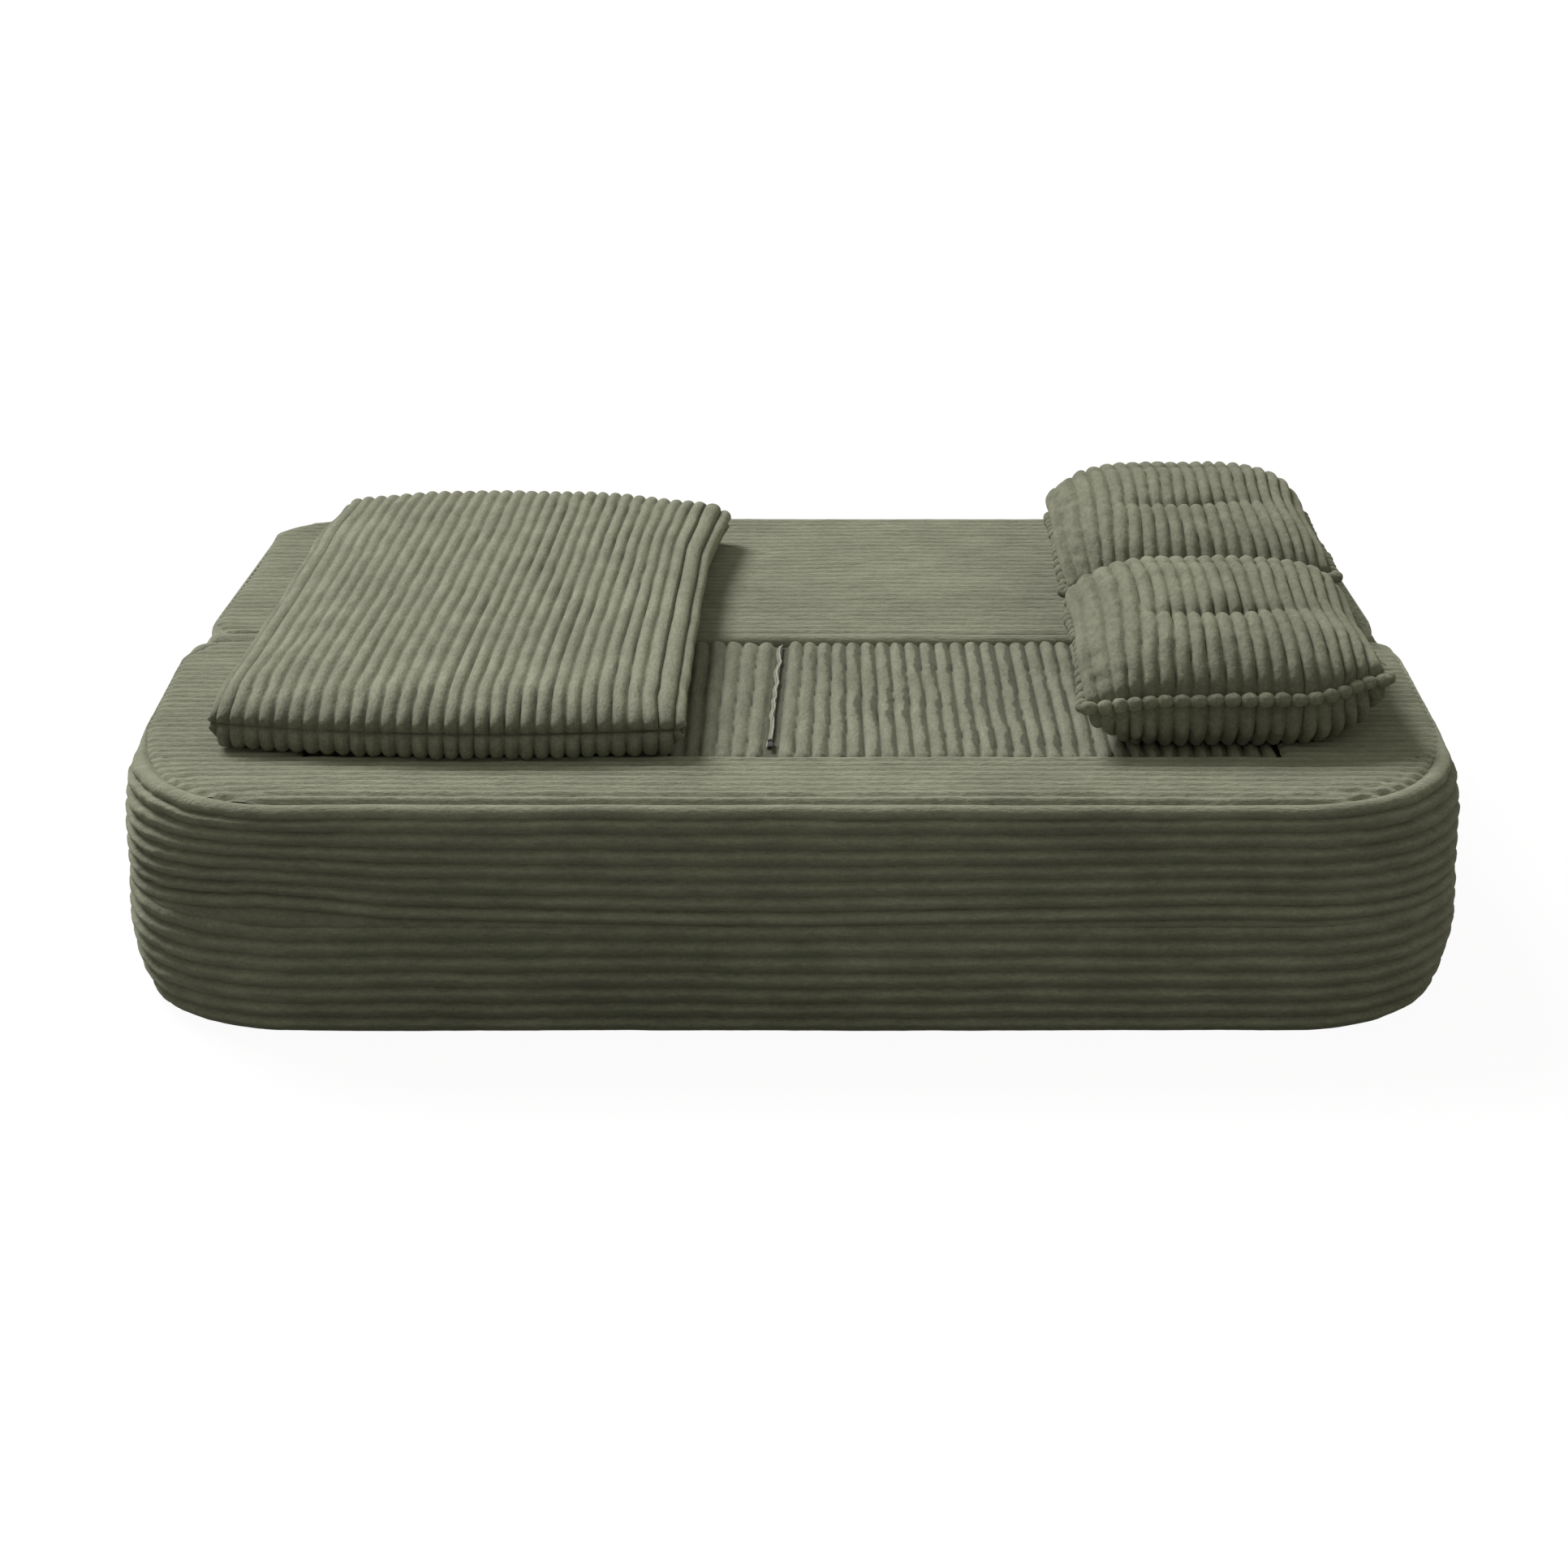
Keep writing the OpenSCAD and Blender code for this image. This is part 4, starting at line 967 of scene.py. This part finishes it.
def make_pillow(which, moves):
    place = np.array([*PILLOW_PLACES[which], TOP_Z + REST_GAP])
    shares = spread(PILLOW_SPLIT[0], 0.5), spread(PILLOW_SPLIT[1], 0.75)
    coarse = np.meshgrid(*shares, indexing="ij")
    sheets = inflate(f"{which}_pillow_fill", *pillow_base(*coarse, PILLOW_FOLDS[which]), 3.0, 0.012)
    rows = np.linspace(0, PILLOW_SPLIT[0] - 1, PILLOW_RIBS * 10 + 1)
    columns = np.linspace(0, PILLOW_SPLIT[1] - 1, 109)
    u, v = np.meshgrid(*(np.interp(at, np.arange(len(share)), share)
                         for at, share in zip((rows, columns), shares)), indexing="ij")
    cloth = Cloth()
    for sheet, turned in zip(sheets, (False, True)):
        points, ribs, nap = pillow_sheet(which, refine(sheet, rows, columns), u, v, moves, turned)
        cloth.add(points + place, ribs, nap, turned=turned)
    cover = cloth.build(f"{which}_pillow_cover", pillow_plush)
    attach(cover, f"{which}_pillow")
    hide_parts(f"pillow_{which}_top_cover", f"pillow_{which}_bottom_cover", f"pillow_{which}_filling")
    beads = make_beads(which, moves, place)
    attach(beads, f"{which}_pillow")
    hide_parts(f"pillow_{which}_beads")


def make_beads(which, moves, place):
    """Gathered rib ends along the seam, as one string of beads."""
    t = np.linspace(-1, 1, BEADS_PER_SIDE * BEAD_POINTS + 1)[:-1]
    bow = 1 - t ** 2
    x, y = PILLOW_SIZE[0] / 2 + BEAD_OUT, PILLOW_SIZE[1] / 2 + BEAD_OUT
    side = x - 0.030 * bow
    loop = np.concatenate([np.stack([side, t * y], -1), np.stack([-t * x, y - 0.016 * bow], -1),
                           np.stack([-side, -t * y], -1), np.stack([t * x, 0.002 * bow - y], -1)])
    loop = shift_corners(joined(*split(loop), PILLOW_SEAM), moves)
    loop[:, 2] += 0.002 * noise(loop, 0.04, 41)
    way = unit(np.roll(loop, -1, axis=0) - np.roll(loop, 1, axis=0))
    out = unit(np.cross(way, [0, 0, 1]))
    up = np.cross(out, way)
    phase = np.arange(len(loop)) / BEAD_POINTS + 0.12 * noise(loop, 0.05, 42)
    bead = rib(phase, 0.995)
    size = 0.0042 + 0.0072 * bead * (1 + 0.25 * noise(loop, 0.03, 43))
    angle = np.linspace(0, 2 * math.pi, BEAD_POINTS, endpoint=False)[None, :, None]
    ring = np.cos(angle) * out[:, None, :] + 0.92 * np.sin(angle) * up[:, None, :]
    points = loop[:, None, :] + ring * size[:, None, None]
    points = points + ring * (0.0009 * noise(points, 0.006, 44))[..., None]
    points = np.concatenate([points, points[:, :1]], axis=1) + place
    return Cloth().add(points, bead[:, None], closed=True).build(f"{which}_pillow_beads", pillow_plush)


make_pillow("front", {(1, -1): (-0.022, 0.040, 0.020), (-1, -1): (0.012, -0.002, -0.012),
                      (1, 1): (-0.036, -0.03, 0.0), (-1, 1): (0.034, -0.03, -0.004)})
make_pillow("rear", {(1, -1): (-0.022, 0.020, 0.006), (-1, -1): (0.022, 0.0, -0.014),
                     (1, 1): (-0.030, -0.03, -0.008), (-1, 1): (0.052, -0.045, -0.004)})

# Loose mat with a zipped seam
MAT_RIBS = 30
MAT_PHASES = MAT_RIBS + 2
MAT_LOW = 0.0100
MAT_ROWS = 381
MAT_COLUMNS = 131

# How far the right side of the mat is drawn in, from its front corner to its back corner
DRAW_PLACES = [-1.0, -0.9, -0.5, 0.0, 0.5, 0.8, 1.0]
DRAWS = [0.026, 0.031, 0.037, 0.043, 0.047, 0.036, 0.026]


def drawn_in(v):
    return np.interp(v, DRAW_PLACES, DRAWS)


def on_bed(points):
    """Points of the mat, turned a little and laid on the bed."""
    turn = math.radians(MAT_TURN)
    spin = np.array([[math.cos(turn), math.sin(turn), 0], [-math.sin(turn), math.cos(turn), 0], [0, 0, 1]])
    return points @ spin + np.array([*MAT_PLACE, TOP_Z + REST_GAP])


def mat_base(u, v, side_u, side_v):
    """Both sheets of the mat before its ribs; the sides say how far a point has risen round the edge."""
    half_x, half_y = MAT_SIZE[0] / 2, MAT_SIZE[1] / 2
    bow = 0.006 * np.sin((v + 0.25) * 2.6) * (1 - u ** 4) - 0.006 * (1 - v ** 2) * (1 - u ** 2)
    left = 0.008 * (1 - v ** 2) + 0.020 * smooth(v, 0.6, 1.0) + 0.008 * smooth(-v, 0.8, 1.0)
    x = u * (half_x - np.where(u > 0, drawn_in(v), left)) + bow
    rear = 0.075 - 0.049 * u ** 2 - 0.009 * u
    y = v * half_y + v * np.where(v > 0, rear, 0.038 * (1 - u ** 2))
    full = np.maximum(0, 1 - ((1 - side_u) ** 2.5 + (1 - side_v) ** 2.5) ** 0.4)
    crown = 0.009 * (1 - u ** 2) * side_v
    top = MAT_SEAM + (MAT_TOP - 0.0125) * full + crown
    swell = 0.008 * np.sin(math.pi * np.minimum(side_u, 1)) * np.where(u > 0, 1.0, 0.4) * side_v
    low = (1 - (1 - side_u ** 2) ** 2) * (1 - (1 - side_v ** 2) ** 4.2)
    under = MAT_SEAM - np.minimum(MAT_SEAM - MAT_LOW, MAT_SEAM * 1.15 * low)
    belly = np.where(v < 0, np.sin(math.pi * np.minimum(side_v, 1) ** 0.8) * side_u, 0)
    return joined(x + np.sign(u) * swell, y - 0.006 * belly, top), joined(x, y - 0.013 * belly, under)


def rolled(half, low_reach, high_reach, flat_count):
    """Shares from -1 to 1 across a rounded slab, and how far each has risen round its edges."""
    turn = np.linspace(0, 1, 11)[:-1] ** 1.8
    rise = np.sqrt(1 - (1 - turn) ** 2.4)
    flat = np.linspace(-half + low_reach, half - high_reach, flat_count)
    place = np.concatenate([-half + low_reach * turn, flat, (half - high_reach * turn)[::-1]]) / half
    return place, np.concatenate([rise, np.ones(flat_count), rise[::-1]])


def mat_sheet(points, run_at, whole, near_end, front, flat_left, turned):
    """Points of one sheet of the mat with its ribs, and how its material sees them."""
    if turned:
        points[..., 2] = np.maximum(points[..., 2], MAT_LOW)
    phase = np.broadcast_to(run_at / whole * MAT_PHASES, points.shape[:2])
    phase = phase + room_inside(phase, MAT_PHASES) * uneven(points, (0.16, 0.30, 50), (0.03, 0.06, 51))
    shape = rib(phase, 0.96)
    near_side = np.minimum(run_at, whole - run_at)
    pinch = smooth(near_end, 0.0, 0.011) * smooth(near_side, -0.003, 0.006)
    height = 0.0090 * shape * pinch * (1 + 0.2 * noise(points, 0.06, 52)) * (1 - 0.22 * flat_left)
    height = height * (1 + 0.25 * (1 - smooth(near_end, 0.012, 0.045)))
    rough = 0.0005 + 0.0006 * (1 - smooth(near_end, 0.0, 0.10))
    height = height + rough * smooth(np.minimum(near_end, near_side), 0.002, 0.02) * noise(points, 0.02, 53)
    # Painted shade on the far side of each rib, and more on the front end of the mat, which turns from the
    # lamp.
    nap = 0.93 - 0.17 * far_side_shade(points, phase, 0.64, 0.08, (0.22, 0.08, 54), (0.10, 0.016, 55))
    nap = nap * (1 - 0.22 * front)
    return raised(points, -height if turned else height), shape + 0.6 * flat_left * (1 - shape), nap


def make_mat():
    u_at, u_rise = rolled(MAT_SIZE[0] / 2, 0.040, 0.040, 36)
    v_at, v_rise = rolled(MAT_SIZE[1] / 2, 0.090, 0.040, 44)
    u, v = np.meshgrid(u_at, v_at, indexing="ij")
    side_u, side_v = np.meshgrid(u_rise, v_rise, indexing="ij")
    sheets = inflate("mat_fill", *mat_base(u, v, side_u, side_v), 1.2, 0.005, passes=6)
    rows = np.linspace(0, len(u_at) - 1, MAT_ROWS)
    columns = np.linspace(0, len(v_at) - 1, MAT_COLUMNS)
    ran = np.concatenate([[0], np.cumsum(np.hypot(np.diff(u_at * MAT_SIZE[0] / 2), np.diff(u_rise * 0.030)))])
    run_at = np.interp(rows, np.arange(len(u_at)), ran)[:, None]
    # Towards the left of the mat the ribs are lower and their painted groove shade lighter.
    flat_left = 1 - smooth(np.interp(rows, np.arange(len(u_at)), u_at), -0.9, 0.2)[:, None]
    end = (1 - np.abs(v_at)) * MAT_SIZE[1] / 2 + 0.03 * v_rise
    near_end = np.interp(columns, np.arange(len(v_at)), end)[None, :]
    # Share of the front end of the mat that gets more painted shade.
    front = (np.interp(columns, np.arange(len(v_at)), v_at) < 0) * (1 - smooth(near_end, 0.02, 0.07))
    cloth = Cloth()
    for sheet, turned in zip(sheets, (False, True)):
        points = refine(sheet, rows, columns)
        points, ribs, nap = mat_sheet(points, run_at, ran[-1], near_end, front, flat_left, turned)
        cloth.add(on_bed(points), ribs, nap, turned=turned)
    return cloth.build("mat_cover", loose_plush)


def make_mat_zip():
    """Zip strip between the two welts of the mat's seam."""
    t = np.linspace(-1, 1, 121)[:-1]
    x, y = MAT_SIZE[0] / 2 - 0.004, MAT_SIZE[1] / 2
    ease = 0.012 * np.maximum(0, np.abs(t) - 0.94) / 0.06
    front = y + 0.038 * (1 - t ** 2) - ease
    back = y - 0.030
    left = x - 0.020 - 0.008 * (1 - t ** 2)
    right = MAT_SIZE[0] / 2 - 0.014 - drawn_in(t)
    loop = np.concatenate([np.stack([right, t * back], -1), np.stack([-t * left, np.full_like(t, back)], -1),
                           np.stack([-left, -t * back], -1), np.stack([t * (x - 0.012), -front], -1)])
    away = unit(loop)
    welt = [(-0.006, 0.0045), (0.0012, 0.0042), (0.0022, 0.0026), (0.0012, 0.0012)]
    profile = [(out, -up) for out, up in welt] + [(-0.0012, 0.0)] + welt[::-1]
    wave = 0.0022 * noise(joined(*split(loop), 0), 0.10, 60)
    points = np.stack([joined(*split(loop + away * out), MAT_SEAM + up + wave)
                       for out, up in profile], axis=1)
    return Cloth().add(on_bed(points), 0.9, closed=True).build("mat_zip", zip_cloth, "tape")


mat_cover = make_mat()
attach(mat_cover, "mat")
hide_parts("mat_top_cover", "mat_bottom_cover", "mat_foam")
mat_strip = make_mat_zip()
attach(mat_strip, "mat")
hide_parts("mat_zip_strip")

# Floor, lights and camera
FLOOR_REACH = 30.0
FLOOR_Z = -0.001


def seen_directly(tree):
    """1 for a ray from the camera, off a glossy surface or through glass, 0 for the rest."""
    path = tree.nodes.new("ShaderNodeLightPath")
    seen = path.outputs["Is Camera Ray"]
    for ray in ("Is Glossy Ray", "Is Transmission Ray"):
        either = tree.nodes.new("ShaderNodeMath")
        either.operation = "MAXIMUM"
        tree.links.new(seen, either.inputs[0])
        tree.links.new(path.outputs[ray], either.inputs[1])
        seen = either.outputs[0]
    return seen


def show(tree, kind, lights, seen):
    """An output of the kind given that lights the bed with one shader and is seen as the other."""
    mix = wired(tree, "ShaderNodeMixShader", Fac=seen_directly(tree))
    tree.links.new(lights.outputs[0], mix.inputs[1])
    tree.links.new(seen.outputs[0], mix.inputs[2])
    wired(tree, kind, Surface=mix.outputs[0])


def add_floor():
    """White backdrop that keeps the shadow of the bed."""
    material = bpy.data.materials.new("floor_white")
    material.use_nodes = True
    tree = material.node_tree
    tree.nodes.clear()
    shade = wired(tree, "ShaderNodeBsdfDiffuse", Color=(0.14, 0.14, 0.13, 1))
    faint = wired(tree, "ShaderNodeBsdfDiffuse", Color=(0.065, 0.065, 0.065, 1))
    white = wired(tree, "ShaderNodeEmission", Strength=0.95)
    both = tree.nodes.new("ShaderNodeAddShader")
    tree.links.new(white.outputs[0], both.inputs[0])
    tree.links.new(faint.outputs[0], both.inputs[1])
    show(tree, "ShaderNodeOutputMaterial", shade, both)
    mesh = bpy.data.meshes.new("floor")
    corners = [(x * FLOOR_REACH, y * FLOOR_REACH, FLOOR_Z) for x, y in ((-1, -1), (1, -1), (1, 1), (-1, 1))]
    mesh.from_pydata(corners, [], [(0, 1, 2, 3)])
    mesh.materials.append(material)
    floor = placed("floor", mesh)


def add_world():
    """White to look at, and a dimmer warm light on the bed."""
    world = bpy.data.worlds.new("studio")
    world.use_nodes = True
    tree = world.node_tree
    tree.nodes.clear()
    shown = wired(tree, "ShaderNodeBackground", Color=(1, 1, 1, 1))
    light = wired(tree, "ShaderNodeBackground", Color=(1.0, 0.99, 0.82, 1), Strength=0.29)
    show(tree, "ShaderNodeOutputWorld", light, shown)
    bpy.context.scene.world = world


def add_sun(name, direction, strength, spread_angle):
    """A soft distant lamp that shines from the direction given."""
    lamp = bpy.data.lights.new(name, "SUN")
    lamp.energy = strength
    lamp.angle = math.radians(spread_angle)
    item = placed(name, lamp)
    from_x, from_y, from_z = direction
    item.rotation_euler = (math.atan2(math.hypot(from_x, from_y), from_z), 0,
                           math.atan2(from_y, from_x) + math.pi / 2)


def add_camera():
    data = bpy.data.cameras.new("view")
    data.lens = CAMERA_LENS
    data.sensor_width = CAMERA_SENSOR
    data.sensor_fit = "HORIZONTAL"
    item = placed("view", data)
    item.location = CAMERA_PLACE
    item.rotation_euler = (math.radians(CAMERA_TILT), 0, 0)
    bpy.context.scene.camera = item


add_floor()
add_world()
add_sun("key", (-0.60, 0.66, 0.90), 3.15, 24)
add_camera()
bpy.context.scene.view_settings.view_transform = "Standard"
